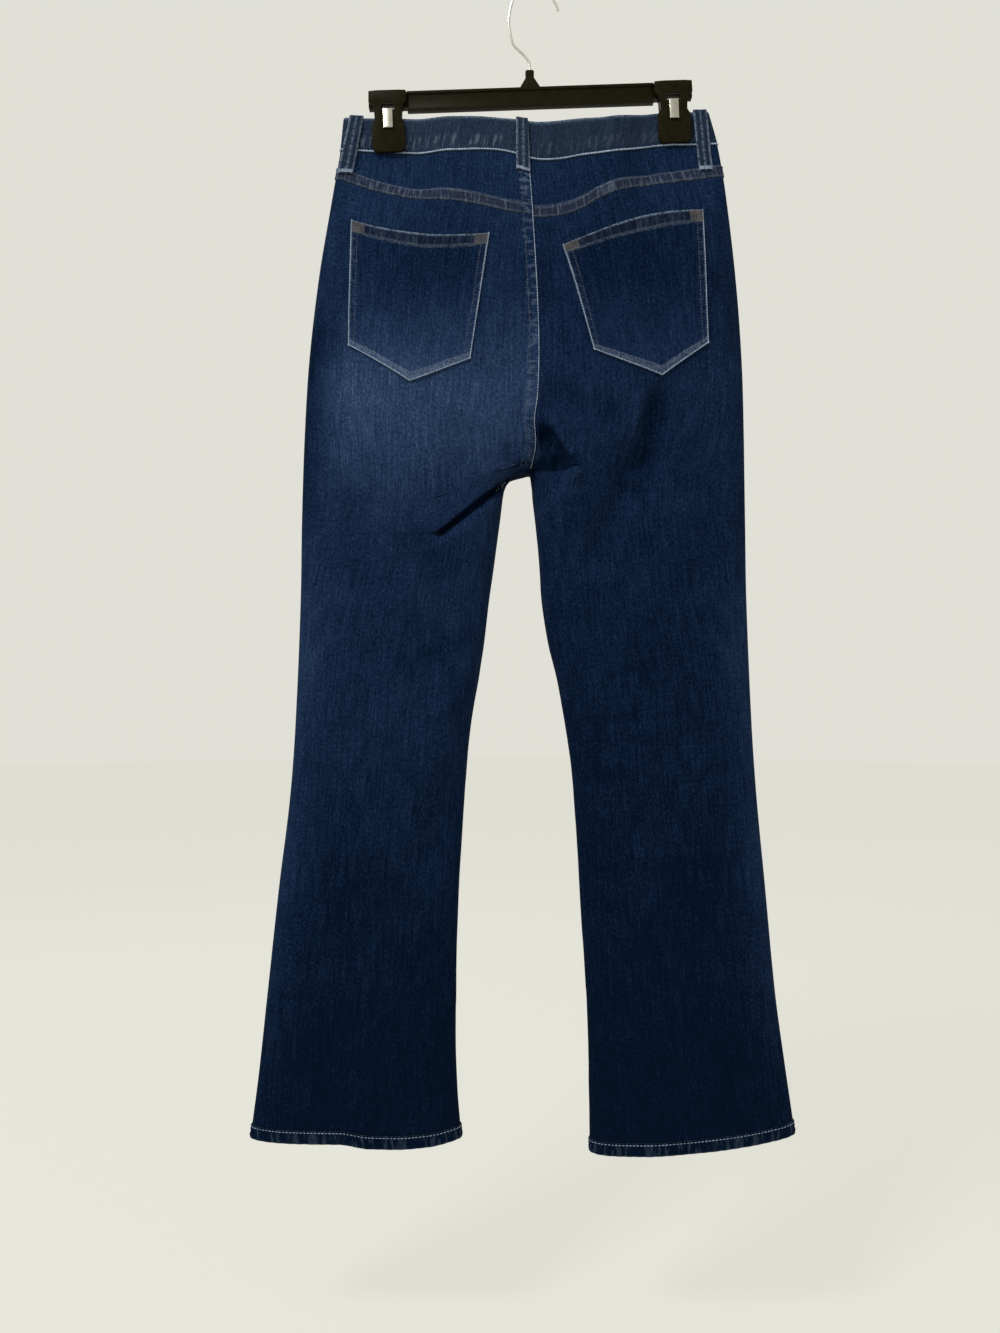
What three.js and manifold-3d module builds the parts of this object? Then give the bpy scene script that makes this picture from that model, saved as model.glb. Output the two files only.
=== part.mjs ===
// Flared jeans hanging from a clip hanger. Millimetres, +Z up.
// Looking along +Y shows the seat, with +X to the right. The wearer's left leg is the one at -X.
// The origin is where the hook rests on a rod: the inside top of its arc.

import * as THREE from 'three';
import Module from 'manifold-3d';
import { mergeVertices } from 'three/addons/utils/BufferGeometryUtils.js';

const wasm = await Module();
wasm.setup();

// Driving sizes of the cloth.
const DENIM = 1.6; // wall of a single panel
const BAND_WALL = 2.6; // wall of the doubled waistband
const GAP = 0.3; // between two pieces at a seam
const WAIST_Z = -141.5; // top edge of the waistband where the clips hold it
const BAND = 37; // height of the waistband
const CROTCH = 383; // how far below the waist's edge the four leg seams meet
const HEM = { left: 1097, right: 1108 }; // how far below the waist's edge each leg ends
const HEM_BAND = 14; // height of the turned-up hem
const FELL = 12; // width of a felled seam
const FELL_RISE = 0.8; // how far a felled seam stands out of its panel
const SIDE_SEAM = -0.06; // where the side seams run: just in front of the outer folds
const INSEAM_TURN = 0.06; // how far the inseams run in front of the inner folds

// The outer folds of both legs and the depth of the cloth behind and before them.
// level is the distance below the waist's edge; seat is the depth towards -Y, belly towards +Y.
const BODY = [
  { level: 0, left: -203, right: 188, seat: 14, belly: 11 },
  { level: 37, left: -207, right: 198, seat: 19, belly: 14 },
  { level: 90, left: -216, right: 207, seat: 30, belly: 22 },
  { level: 170, left: -229.5, right: 217, seat: 40, belly: 29 },
  { level: 260, left: -240, right: 223.5, seat: 45, belly: 32 },
  { level: 340, left: -245, right: 226, seat: 43, belly: 33 },
  { level: 430, left: -248, right: 227.5, seat: 36, belly: 31 },
  { level: 520, left: -249.5, right: 229, seat: 31, belly: 28 },
  { level: 650, left: -255, right: 234.5, seat: 27, belly: 26 },
  { level: 730, left: -261, right: 240, seat: 26, belly: 25 },
  { level: 820, left: -272, right: 248.5, seat: 26, belly: 25 },
  { level: 950, left: -286, right: 260, seat: 27, belly: 25 },
  { level: 1030, left: -294.5, right: 270, seat: 27, belly: 26 },
  { level: 1110, left: -305, right: 281, seat: 28, belly: 26 },
];

// The inner folds of the two legs, below the crotch.
const INNER = [
  { level: 383, left: -4, right: -4 },
  { level: 387, left: -18, right: -3 },
  { level: 392, left: -26, right: -2.5 },
  { level: 398, left: -30, right: -1.5 },
  { level: 411, left: -33, right: -0.5 },
  { level: 432, left: -35.5, right: 2 },
  { level: 475, left: -41, right: 6.5 },
  { level: 518, left: -47, right: 9.5 },
  { level: 561, left: -52.5, right: 16 },
  { level: 604, left: -59, right: 26 },
  { level: 647, left: -66.5, right: 33.5 },
  { level: 690, left: -71, right: 40 },
  { level: 733, left: -74, right: 44 },
  { level: 819, left: -79.5, right: 49.5 },
  { level: 905, left: -82.5, right: 54.5 },
  { level: 991, left: -83, right: 59 },
  { level: 1050, left: -81, right: 60 },
  { level: 1110, left: -75.5, right: 61 },
];

// The centre seams: the seat's wanders as it hangs, the belly's is nearly plumb.
const CENTRE_SEAM = [
  { level: 0, seat: -6, belly: -4 },
  { level: 90, seat: -1, belly: -4 },
  { level: 150, seat: 2, belly: -4 },
  { level: 215, seat: 5, belly: -4 },
  { level: 260, seat: 6, belly: -3 },
  { level: 305, seat: 4.5, belly: -3 },
  { level: 330, seat: 1, belly: -3 },
  { level: 355, seat: 2, belly: -3.5 },
  { level: 383, seat: -4, belly: -4 },
];

// How the seat's waistband lies off its plain sag: its top edge and its foot, over 0 is up.
const BAND_HANG = [
  { x: -185, top: 0, low: 0 },
  { x: -143, top: -0.5, low: -2.2 },
  { x: -89, top: -2, low: -5 },
  { x: -57, top: -1, low: -3 },
  { x: -35, top: 0.5, low: -0.8 },
  { x: -19, top: 3, low: -0.5 },
  { x: 2, top: 4, low: -3 },
  { x: 29, top: 4, low: -4 },
  { x: 50, top: 2.6, low: -3.8 },
  { x: 72, top: -1, low: -5.7 },
  { x: 93, top: -2, low: -6.2 },
  { x: 120, top: -1.5, low: -2 },
  { x: 150, top: 0, low: 0 },
];

// How far above the crotch each face starts to curve under it.
const CROTCH_CURVE = { seat: 95, belly: 75 };

// The lower edge of the yoke, from the side seam (across 0) to the centre seam (across 1).
const YOKE = [
  { across: 0, left: 67, right: 70.5 },
  { across: 0.1, left: 73.5, right: 72.5 },
  { across: 0.25, left: 84, right: 77 },
  { across: 0.4, left: 92, right: 80.5 },
  { across: 0.55, left: 96.5, right: 86.5 },
  { across: 0.66, left: 99.5, right: 93 },
  { across: 0.78, left: 103.5, right: 104 },
  { across: 0.88, left: 106, right: 108.5 },
  { across: 1, left: 106, right: 110 },
];

// The largest troughs (depth over 0) and ridges (under 0), each along a straight stretch of cloth.
const FOLDS = [
  // face, from (x, level) to (x, level), half width, depth
  { face: 'seat', x0: -26, l0: 390, x1: -60, l1: 417, wide: 9, deep: 6 },
  { face: 'seat', x0: -26, l0: 390, x1: -97, l1: 445, wide: 9, deep: 7 },
  { face: 'seat', x0: 14, l0: 348, x1: 30, l1: 376, wide: 9, deep: 9 },
  { face: 'seat', x0: 20, l0: 336, x1: 46, l1: 384, wide: 8, deep: -5 },
  { face: 'seat', x0: -198, l0: 250, x1: -184, l1: 430, wide: 14, deep: 5 },
  { face: 'seat', x0: -184, l0: 430, x1: -166, l1: 575, wide: 16, deep: 5 },
  { face: 'seat', x0: -160, l0: 300, x1: -120, l1: 460, wide: 34, deep: -6 },
  { face: 'seat', x0: 132, l0: 306, x1: 110, l1: 372, wide: 16, deep: 8 },
  { face: 'seat', x0: 110, l0: 372, x1: 68, l1: 470, wide: 18, deep: 9 },
  { face: 'seat', x0: 20, l0: 130, x1: 20, l1: 215, wide: 11, deep: 4 },
  { face: 'seat', x0: -64, l0: 590, x1: -132, l1: 716, wide: 22, deep: -5 },
  { face: 'seat', x0: -98, l0: 754, x1: -152, l1: 846, wide: 22, deep: 5 },
  { face: 'belly', x0: -30, l0: 398, x1: -92, l1: 360, wide: 13, deep: 7 },
  { face: 'belly', x0: 22, l0: 400, x1: 84, l1: 366, wide: 13, deep: 7 },
  { face: 'belly', x0: -178, l0: 280, x1: -160, l1: 520, wide: 18, deep: 5 },
  { face: 'belly', x0: 150, l0: 330, x1: 96, l1: 500, wide: 20, deep: 6 },
  { face: 'belly', x0: 70, l0: 640, x1: 140, l1: 770, wide: 24, deep: -4 },
  { face: 'belly', x0: -96, l0: 700, x1: -160, l1: 800, wide: 22, deep: 4 },
];

// The clips press the two sides of the waist together here.
const CLIP_X = { left: -154.7, right: 151.3 };
const CLIP_HOLD = 26; // half the width that is pressed flat
const PRESSED = 2.7; // depth of the cloth's face there

const mix = (a, b, t) => a + (b - a) * t;
const clamp01 = (t) => Math.min(1, Math.max(0, t));
const smooth = (a, b, t) => {
  const s = clamp01((t - a) / (b - a));
  return s * s * (3 - 2 * s);
};
const bell = (t) => Math.exp(-t * t);

// Reads a table's column at a place between its rows, along a smooth curve through them.
function read(table, key, column, at) {
  const last = table.length - 1;
  const t = Math.min(table[last][key], Math.max(table[0][key], at));
  let i = 0;
  while (i < last - 1 && table[i + 1][key] < t) i += 1;
  const slope = (k) => {
    const a = table[Math.max(0, k - 1)];
    const b = table[Math.min(last, k + 1)];
    return (b[column] - a[column]) / (b[key] - a[key]);
  };
  const a = table[i];
  const b = table[i + 1];
  const h = b[key] - a[key];
  const u = (t - a[key]) / h;
  return (
    a[column] * (1 + 2 * u) * (1 - u) ** 2 +
    slope(i) * h * u * (1 - u) ** 2 +
    b[column] * u * u * (3 - 2 * u) +
    slope(i + 1) * h * u * u * (u - 1)
  );
}

// 0 where the trunk is one tube, 1 where the legs are two; between them the seams curve under.
function parting(face, level) {
  const t = clamp01((level - CROTCH + CROTCH_CURVE[face]) / CROTCH_CURVE[face]);
  return 1 - Math.sqrt(1 - t * t);
}

// How far a fold moves the cloth inwards.
function foldDepth(face, x, level) {
  let depth = 0;
  for (const f of FOLDS) {
    if (f.face !== face) continue;
    const dx = f.x1 - f.x0;
    const dl = f.l1 - f.l0;
    const long = Math.hypot(dx, dl);
    const along = ((x - f.x0) * dx + (level - f.l0) * dl) / long;
    const off = ((x - f.x0) * dl - (level - f.l0) * dx) / long;
    const past = Math.max(0, -along, along - long);
    depth += f.deep * bell(off / f.wide) * bell(past / f.wide);
  }
  return depth;
}

// How the waist's edge, the crotch's slack and the slanted hem lift or lower the cloth.
function lift(side, face, x, level) {
  const sag = face === 'seat' ? 12.5 * bell((x - 8) / (x < 8 ? 44 : 58)) : 21 * bell((x + 4) / 88);
  const waist = (6.5 * smooth(40, 150, x) - sag) * (1 - smooth(40, 190, level));
  const edge = (column) => (face === 'seat' ? read(BAND_HANG, 'x', column, x) : 0);
  const hang = mix(edge('top'), edge('low'), Math.min(1, level / BAND)) * (1 - smooth(BAND, 90, level));
  const wave = 4.5 * (1 - smooth(-206, -172, x)) + 4 * smooth(-112, -76, x) - bell((x + 142) / 22);
  const hem = side === 'right' ? 20 * clamp01((x - 60) / 220) ** 1.7 : wave;
  return waist + hang + hem * smooth(780, 1100, level);
}

// A point on the cloth's outer face. s runs from the outer fold (0) round the seat to the
// centre seam or the inner fold (1), and round the belly to the same place (-1).
function skin(side, s, level) {
  if (Math.abs(s) > 1) s -= 2 * Math.sign(s);
  const face = s >= 0 ? 'seat' : 'belly';
  const a = Math.abs(s);
  const legs = parting(face, level);
  const square = mix(3.8, 2.6, smooth(0, 150, level));
  const round = (t) => (1 - clamp01(t) ** square) ** (1 / square);
  const across = mix(a ** 1.6, (1 - Math.cos(Math.PI * a)) / 2, smooth(290, 470, level));
  const outerRoll = mix(1, 0.5, smooth(300, 620, level));
  const innerRoll = mix(0.24, 0.5, smooth(CROTCH, 580, level));
  const closing = mix(1, round(1 - (1 - across) / innerRoll), legs);
  const full = round(1 - across / outerRoll) * closing;
  const outer = read(BODY, 'level', side, level);
  const seam = read(CENTRE_SEAM, 'level', face, level);
  const thigh = read(INNER, 'level', side, Math.max(432, level));
  const inner = level <= CROTCH ? seam : read(INNER, 'level', side, level);
  const even = mix(seam, thigh, smooth(320, 480, level));
  const x = mix(outer, even, across) + (inner - even) * across ** 6;

  let depth = read(BODY, 'level', face, level) * full;
  depth -= foldDepth(face, x, level) * smooth(0.1, 0.75, full);
  const off = Math.abs(x - CLIP_X[side]);
  const pressed = (1 - smooth(CLIP_HOLD, 68, off)) * (1 - smooth(39, 130, level));
  depth = mix(depth, Math.min(depth, PRESSED), pressed);

  const z = WAIST_Z - level + lift(side, face, x, level);
  return new THREE.Vector3(x, face === 'seat' ? -depth : depth, z);
}

// The direction out of the cloth at a place on it.
function facing(side, s, level) {
  const inTrunk = level <= CROTCH;
  const atCentre = inTrunk && Math.abs(Math.abs(s) - 1) < 1e-6;
  if (atCentre && level > CROTCH - 0.01) return new THREE.Vector3(0, 0, -1);
  const step = 3;
  const low = inTrunk ? Math.min(CROTCH, level + step) : level + step;
  const high = inTrunk ? level - step : Math.max(CROTCH + 0.01, level - step);
  const down = skin(side, s, atCentre ? level : low).sub(skin(side, s, high));
  const turn = side === 'left' ? 1 : -1;
  let round;
  if (atCentre) {
    round = new THREE.Vector3(Math.sign(s) * turn, 0, 0);
  } else {
    const span = inTrunk ? Math.min(0.02, (1 - Math.abs(s)) * 0.9) : 0.02;
    round = skin(side, s + span, level).sub(skin(side, s - span, level));
  }
  return down.cross(round).multiplyScalar(turn).normalize();
}

// A closed wall between an outer and an inner grid of points, given row by row.
function wallBetween(outer, inner, ring = false) {
  const rows = outer.length;
  const columns = outer[0].length;
  const points = [...outer.flat(), ...inner.flat()];
  const at = (j, i, inside) => (inside ? rows * columns : 0) + j * columns + (i % columns);
  const triangles = [];
  const quad = (a, b, c, d) => triangles.push(a, b, c, a, c, d);
  const cells = ring ? columns : columns - 1;
  for (let j = 0; j < rows - 1; j += 1) {
    for (let i = 0; i < cells; i += 1) {
      quad(at(j, i, 0), at(j, i + 1, 0), at(j + 1, i + 1, 0), at(j + 1, i, 0));
      quad(at(j, i, 1), at(j + 1, i, 1), at(j + 1, i + 1, 1), at(j, i + 1, 1));
    }
    if (!ring) {
      quad(at(j, 0, 0), at(j + 1, 0, 0), at(j + 1, 0, 1), at(j, 0, 1));
      const e = columns - 1;
      quad(at(j, e, 0), at(j, e, 1), at(j + 1, e, 1), at(j + 1, e, 0));
    }
  }
  for (let i = 0; i < cells; i += 1) {
    const b = rows - 1;
    quad(at(0, i, 0), at(0, i, 1), at(0, i + 1, 1), at(0, i + 1, 0));
    quad(at(b, i, 0), at(b, i + 1, 0), at(b, i + 1, 1), at(b, i, 1));
  }
  return closed(points, triangles);
}

// A geometry from points and triangles, turned so that its faces point out.
function closed(points, triangles) {
  let volume = 0;
  for (let k = 0; k < triangles.length; k += 3) {
    const [a, b, c] = [0, 1, 2].map((m) => points[triangles[k + m]]);
    volume += a.dot(b.clone().cross(c));
  }
  if (volume < 0) triangles.reverse();
  const geometry = new THREE.BufferGeometry();
  geometry.setAttribute(
    'position',
    new THREE.Float32BufferAttribute(points.flatMap((p) => [p.x, p.y, p.z]), 3),
  );
  geometry.setIndex(triangles);
  return geometry;
}

// One cell of a panel: a place on the cloth, how far its outer face is raised and how deep
// the wall goes. pull moves an edge point sideways, off its seam.
function layer(side, s, level, raise, wall, pull = 0) {
  const out = facing(side, s, level);
  const place = skin(side, s, level);
  if (pull) {
    const atCentre = level <= CROTCH && Math.abs(Math.abs(s) - 1) < 1e-6;
    if (atCentre) {
      place.x += (side === 'left' ? -1 : 1) * (GAP / 2);
      if (level > CROTCH - 0.01) place.y += s > 0 ? -GAP / 2 : GAP / 2;
    } else {
      const back = skin(side, s - pull * 0.02, level).sub(place).normalize();
      place.addScaledVector(back, GAP / 2);
    }
  }
  return {
    outer: place.clone().addScaledVector(out, raise),
    inner: place.clone().addScaledVector(out, -wall),
  };
}

// Turns rows of cells into a wall.
function panel(rows, ring = false) {
  return wallBetween(
    rows.map((row) => row.map((cell) => cell.outer)),
    rows.map((row) => row.map((cell) => cell.inner)),
    ring,
  );
}

// Levels shared by the panels that meet along a seam.
const TRUNK_LEVELS = [128, 152, 178, 205, 232, 260, 288, 312, 333, 351, 365, 375, 380.8, 383];
const LEG_LEVELS = [
  385.5, 391, 400, 412, 427, 445, 468, 496, 530, 570, 615, 665, 720, 780, 845, 915, 985, 1045,
];
const SEAT_COLUMNS = [0, 0.045, 0.1, 0.18, 0.27, 0.36, 0.46, 0.53, 0.62, 0.7, 0.78, 0.87, 0.945, 0.962, 1];
const BELLY_COLUMNS = [
  0.06, 0.12, 0.2, 0.28, 0.36, 0.46, 0.53, 0.6, 0.645, 0.66, 0.75, 0.87, 0.88, 0.94, 1,
];

// Where the inseam runs, as a place round the leg, past the inner fold.
const inseam = (level) => 1 + INSEAM_TURN * smooth(CROTCH, CROTCH + 80, level);
// Below the crotch the last columns follow the inseam.
const seatColumn = (s, level) => (s > 0.87 ? mix(0.87, inseam(level), (s - 0.87) / 0.13) : s);
const bellyColumn = (s, level) =>
  s > 0.88 ? mix(0.88, 2 - inseam(level), (s - 0.88) / 0.12) : s;

// The yoke's lower edge at a column.
function yokeLevel(side, s) {
  const across = Math.max(0, s) ** 1.6;
  return read(YOKE, 'across', side, across);
}

// Raises the felled seam beside the centre-back seam, which lies on the left leg's cloth.
const seatFell = (side, s, level) => (side === 'left' && s > 0.95 && level < CROTCH - 8 ? FELL_RISE : 0);

function yoke(side) {
  const columns = [SIDE_SEAM, ...SEAT_COLUMNS];
  const line = (s, k) => {
    const low = yokeLevel(side, s) - GAP / 2;
    const top = BAND + GAP / 2;
    return [top, mix(top, low - FELL - 1, 0.55), low - FELL - 1, low - FELL, low][k];
  };
  const rows = [0, 1, 2, 3, 4].map((k) =>
    columns.map((s, i) => {
      const level = line(s, k);
      const raise = Math.max(k > 2 ? FELL_RISE : 0, seatFell(side, s, level));
      const pull = i === 0 ? -1 : i === columns.length - 1 ? 1 : 0;
      return layer(side, s, level, raise, DENIM, pull);
    }),
  );
  return panel(rows);
}

// The places of the seat panel's cells: rows of (s, level) from the yoke down to the hem.
function seatCells(side) {
  const columns = [SIDE_SEAM, ...SEAT_COLUMNS];
  const bottom = HEM[side] - HEM_BAND - GAP;
  const levels = [null, null, ...TRUNK_LEVELS, ...LEG_LEVELS, bottom];
  return levels.map((fixed, j) =>
    columns.map((s) => {
      const top = yokeLevel(side, s) + GAP / 2;
      const level = fixed ?? mix(top, TRUNK_LEVELS[0], j / 2);
      return { s: seatColumn(s, level), level };
    }),
  );
}

function backLeg(side) {
  const rows = seatCells(side).map((row) =>
    row.map(({ s, level }, i) => {
      const pull = i === 0 ? -1 : i === row.length - 1 ? 1 : 0;
      return layer(side, s, level, seatFell(side, s, level), DENIM, pull);
    }),
  );
  return panel(rows);
}

// The front pocket's scoop: how far it dips below the waistband at a column.
const SCOOP = { from: 0.06, to: 0.66, dip: 76 };
function scoopLevel(s) {
  const e = (s ** 1.6 - SCOOP.from ** 1.6) / (SCOOP.to ** 1.6 - SCOOP.from ** 1.6);
  return BAND + GAP / 2 + SCOOP.dip * Math.sqrt(Math.max(0, 1 - clamp01(e) ** 2));
}

// The fly's fold stands out of the left front panel beside the centre seam.
const FLY_LENGTH = 215;
const flyRise = (side, s, level) => (side === 'left' && s > 0.875 && level < FLY_LENGTH ? 1 : 0);

function frontLeg(side) {
  const columns = BELLY_COLUMNS;
  const bottom = HEM[side] - HEM_BAND - GAP;
  const levels = [null, null, null, ...TRUNK_LEVELS.slice(1), ...LEG_LEVELS, bottom];
  const rows = levels.map((fixed, j) =>
    columns.map((s, i) => {
      const level = fixed ?? mix(scoopLevel(s), TRUNK_LEVELS[1], j / 3);
      const pull = i === 0 ? 1 : i === columns.length - 1 ? -1 : 0;
      return layer(side, -bellyColumn(s, level), level, flyRise(side, s, level), DENIM, pull);
    }),
  );
  return panel(rows);
}

// The cloth that shows inside the scoop. It meets the side seam and lies behind the front panel.
function pocketFacing(side) {
  const columns = BELLY_COLUMNS.filter((s) => s < 0.7);
  const behind = DENIM + 1;
  const rows = [0, 0.2, 0.4, 0.6, 0.8, 1].map((t) =>
    columns.map((s, i) => {
      const reach = s < 0.15 ? -GAP : 14;
      const level = mix(BAND + GAP / 2, scoopLevel(s) + reach, t);
      const deep = i === 0 ? 0 : behind * Math.max(smooth(0, 0.5, t), smooth(0.6, 0.645, s));
      return layer(side, -s, level, -deep, deep + DENIM, i === 0 ? 1 : 0);
    }),
  );
  return panel(rows);
}

function hem(side) {
  const columns = [...SEAT_COLUMNS.slice(0, -1), ...[...BELLY_COLUMNS].reverse().map((s) => -s)];
  const shape = [
    { down: 0, raise: 0.5, wall: 1.8 },
    { down: 0.15, raise: 1.1, wall: 2.3 },
    { down: 0.85, raise: 1.1, wall: 2.3 },
    { down: 1, raise: 0.4, wall: 1.6 },
  ];
  const rows = shape.map((r) =>
    columns.map((s) => layer(side, s, HEM[side] - HEM_BAND * (1 - r.down), r.raise, r.wall)),
  );
  return panel(rows, true);
}

const BAND_ROWS = [0, 3, 31, BAND - GAP / 2];
const BAND_RISE = [0, 0.4, 0.4, 0.2];

function waistbandBack() {
  const half = (side) =>
    [SIDE_SEAM, ...SEAT_COLUMNS].filter((s) => s !== 0.962 && s < 1).map((s) => ({ side, s }));
  const columns = [...half('left'), { side: 'left', s: 1 }, ...half('right').reverse()];
  const rows = BAND_ROWS.map((level, j) =>
    columns.map(({ side, s }, i) => {
      const pull = i === 0 || i === columns.length - 1 ? -1 : 0;
      return layer(side, s, level, BAND_RISE[j], BAND_WALL, pull);
    }),
  );
  return panel(rows);
}

// The two front bands overlap at the button: the wearer's left one lies on the right one.
const OVERLAP = 14;
function waistbandFront(side) {
  const columns = BELLY_COLUMNS.filter((s) => s !== 0.645 && s !== 0.88);
  const rows = BAND_ROWS.map((level, j) => {
    const cells = columns.map((s, i) => {
      const over = side === 'left' ? (BAND_WALL + 2 * GAP) * smooth(0.75, 0.94, s) : 0;
      return layer(side, -s, level, BAND_RISE[j] + over, BAND_WALL - over, i === 0 ? 1 : 0);
    });
    const { outer, inner } = cells[cells.length - 1];
    const reach = new THREE.Vector3(side === 'left' ? OVERLAP : -OVERLAP, 0, 0.4);
    return [...cells, { outer: outer.clone().add(reach), inner: inner.clone().add(reach) }];
  });
  return panel(rows);
}

// Belt loops: strips that are sewn down at both ends and stand off the band between them.
const LOOP_WIDTH = 15;
const LOOPS = [
  // foot: how far the lower end stands off the cloth, over a felled seam or on plain cloth
  { name: 'loop_back_centre', side: 'left', face: 'seat', top: -11, low: -11, level: 54, foot: 1.25 },
  { name: 'loop_back_left', side: 'left', face: 'seat', top: -189, low: -201, level: 58, foot: 1.25 },
  { name: 'loop_back_right', side: 'right', face: 'seat', top: 178.5, low: 185, level: 58, foot: 1.25 },
  { name: 'loop_front_left', side: 'left', face: 'belly', top: -80, low: -80, level: 54, foot: 0.5 },
  { name: 'loop_front_right', side: 'right', face: 'belly', top: 72, low: 72, level: 54, foot: 0.5 },
];

// The place on one face of the cloth at an x and a level.
function columnAt(side, face, x, level) {
  let low = 0;
  let high = 1;
  const turn = face === 'seat' ? 1 : -1;
  for (let k = 0; k < 30; k += 1) {
    const middle = (low + high) / 2;
    const here = skin(side, turn * middle, level).x;
    if (side === 'left' ? here < x : here > x) low = middle;
    else high = middle;
  }
  return turn * (low + high) / 2;
}

function beltLoop({ side, face, top, low, level: end, foot }) {
  const shape = [
    { down: 0, stand: 0.75 },
    { down: 0.05, stand: 1.1 },
    { down: 0.3, stand: 2.3 },
    { down: 0.6, stand: 2.5 },
    { down: 0.85, stand: foot + 0.5 },
    { down: 0.93, stand: foot + 0.1 },
    { down: 1, stand: foot },
  ];
  const rows = shape.map(({ down, stand }) => {
    const level = mix(-2, end, down);
    const on = Math.max(0, level);
    return [-0.5, -0.4, -0.17, 0.17, 0.4, 0.5].map((t) => {
      const s = columnAt(side, face, mix(top, low, down) + t * LOOP_WIDTH, on);
      const place = skin(side, s, on);
      const out = facing(side, Math.sign(s) * Math.min(Math.abs(s), 0.98), on);
      place.z += on - level;
      const ridge = Math.abs(t) < 0.4 ? 0.3 : 0;
      return {
        outer: place.clone().addScaledVector(out, stand + DENIM + ridge),
        inner: place.clone().addScaledVector(out, stand),
      };
    });
  });
  return panel(rows);
}

// Seat pockets: corners as (x, level) on the cloth; the top edge sags between its corners.
const POCKETS = {
  left: {
    outTop: [-192.5, 117], inTop: [-46, 134], sag: 9,
    inLow: [-66, 268.5], tip: [-130, 292], outLow: [-195, 250],
  },
  right: {
    outTop: [179.5, 109], inTop: [30, 145], sag: -7,
    inLow: [62, 259], tip: [134, 284.5], outLow: [183, 249],
  },
};
const POCKET_OFF = 0.5; // between the pocket and the leg
const POCKET_HEM = 13;
const CUT_DEPTH = 90; // past the seat's deepest cloth

// A pocket is the seat panel's own cells moved out, cut to the pocket's outline.
function seatPocket(side) {
  const p = POCKETS[side];
  const cells = seatCells(side)
    .filter((row) => row[0].level < 330)
    .map((row) => row.filter(({ s }) => s > 0.04 && s < 0.95));
  const sheet = (from, to) =>
    asSolid(panel(cells.map((row) => row.map((c) => layer(side, c.s, c.level, to, -from)))));
  const cut = (corners) => {
    const shape = new THREE.Shape(
      corners.map(([x, level]) => {
        const z = WAIST_Z - level + lift(side, 'seat', x, level);
        return new THREE.Vector2(x, z);
      }),
    );
    const prism = new THREE.ExtrudeGeometry(shape, { depth: CUT_DEPTH, bevelEnabled: false });
    return asSolid(prism.rotateX(Math.PI / 2));
  };
  const top = [0, 0.17, 0.33, 0.5, 0.67, 0.83, 1].map((t) => [
    mix(p.outTop[0], p.inTop[0], t),
    mix(p.outTop[1], p.inTop[1], t) + p.sag * 4 * t * (1 - t),
  ]);
  const under = top.map(([x, level]) => [x, level + POCKET_HEM]).reverse();
  const body = sheet(POCKET_OFF, POCKET_OFF + DENIM);
  const band = sheet(POCKET_OFF + 0.4, POCKET_OFF + DENIM + 0.7);
  return asGeometry(
    body.intersect(cut([...top, p.inLow, p.tip, p.outLow])).add(
      band.intersect(cut([...top, ...under])),
    ),
  );
}

// Hanger sizes. Its parts are drawn level about its own middle and then tilted together.
const HANGER = { x: -3.4, top: -109, tilt: 1.95, long: 350, high: 20.7 };
const BAR = { web: 3.5, flange: 5, edge: 3 };
const BOSS_X = 0.2;
const CLIP_OFF = 153; // from the hanger's middle to each clip
const HEAD = { half: 20.6, low: -16 };
const JAW = { face: 3.4, deep: 5 };
const SLOT = { half: 6.9, high: -12.5, low: -20 };
const STRAP = { wide: 10, thick: 0.8, foot: -41 };
const WIRE = { radius: 1.6, arc: 23.3 };

const asSolid = (geometry) => {
  geometry.deleteAttribute('normal');
  geometry.deleteAttribute('uv');
  const merged = mergeVertices(geometry, 1e-4);
  return new wasm.Manifold(
    new wasm.Mesh({
      numProp: 3,
      vertProperties: merged.attributes.position.array,
      triVerts: merged.index.array,
    }),
  );
};
const asGeometry = (solid) => {
  const mesh = solid.getMesh();
  const geometry = new THREE.BufferGeometry();
  geometry.setAttribute('position', new THREE.BufferAttribute(new Float32Array(mesh.vertProperties), 3));
  geometry.setIndex(Array.from(mesh.triVerts));
  return geometry;
};
const block = (x0, x1, y0, y1, z0, z1) =>
  new THREE.BoxGeometry(x1 - x0, y1 - y0, z1 - z0).translate((x0 + x1) / 2, (y0 + y1) / 2, (z0 + z1) / 2);

// An outline in X and Z, given as half widths at heights, cut from a plate between two depths.
function plate(halfWidths, middle, y0, y1) {
  const shape = new THREE.Shape();
  halfWidths.forEach(([z, half], k) => (k ? shape.lineTo(half, z) : shape.moveTo(half, z)));
  [...halfWidths].reverse().forEach(([z, half]) => shape.lineTo(-half, z));
  return new THREE.ExtrudeGeometry(shape, { depth: y1 - y0, bevelEnabled: false })
    .rotateX(Math.PI / 2)
    .translate(middle, y1, 0);
}
const JAW_OUTLINE = [
  [0.6, 12], [0, 20], [-12, 20.4], [-17, 14.8], [-30, 14.3], [-35, 17.3], [-60, 17.8], [-63.5, 16],
  [-65.5, 13],
];
const BOSS_OUTLINE = [
  [-1, 11.5], [0, 10.8], [10.5, 4.2], [11.5, 4.2], [12.5, 4.6], [17, 4.6], [18.4, 3.2],
];

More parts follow.
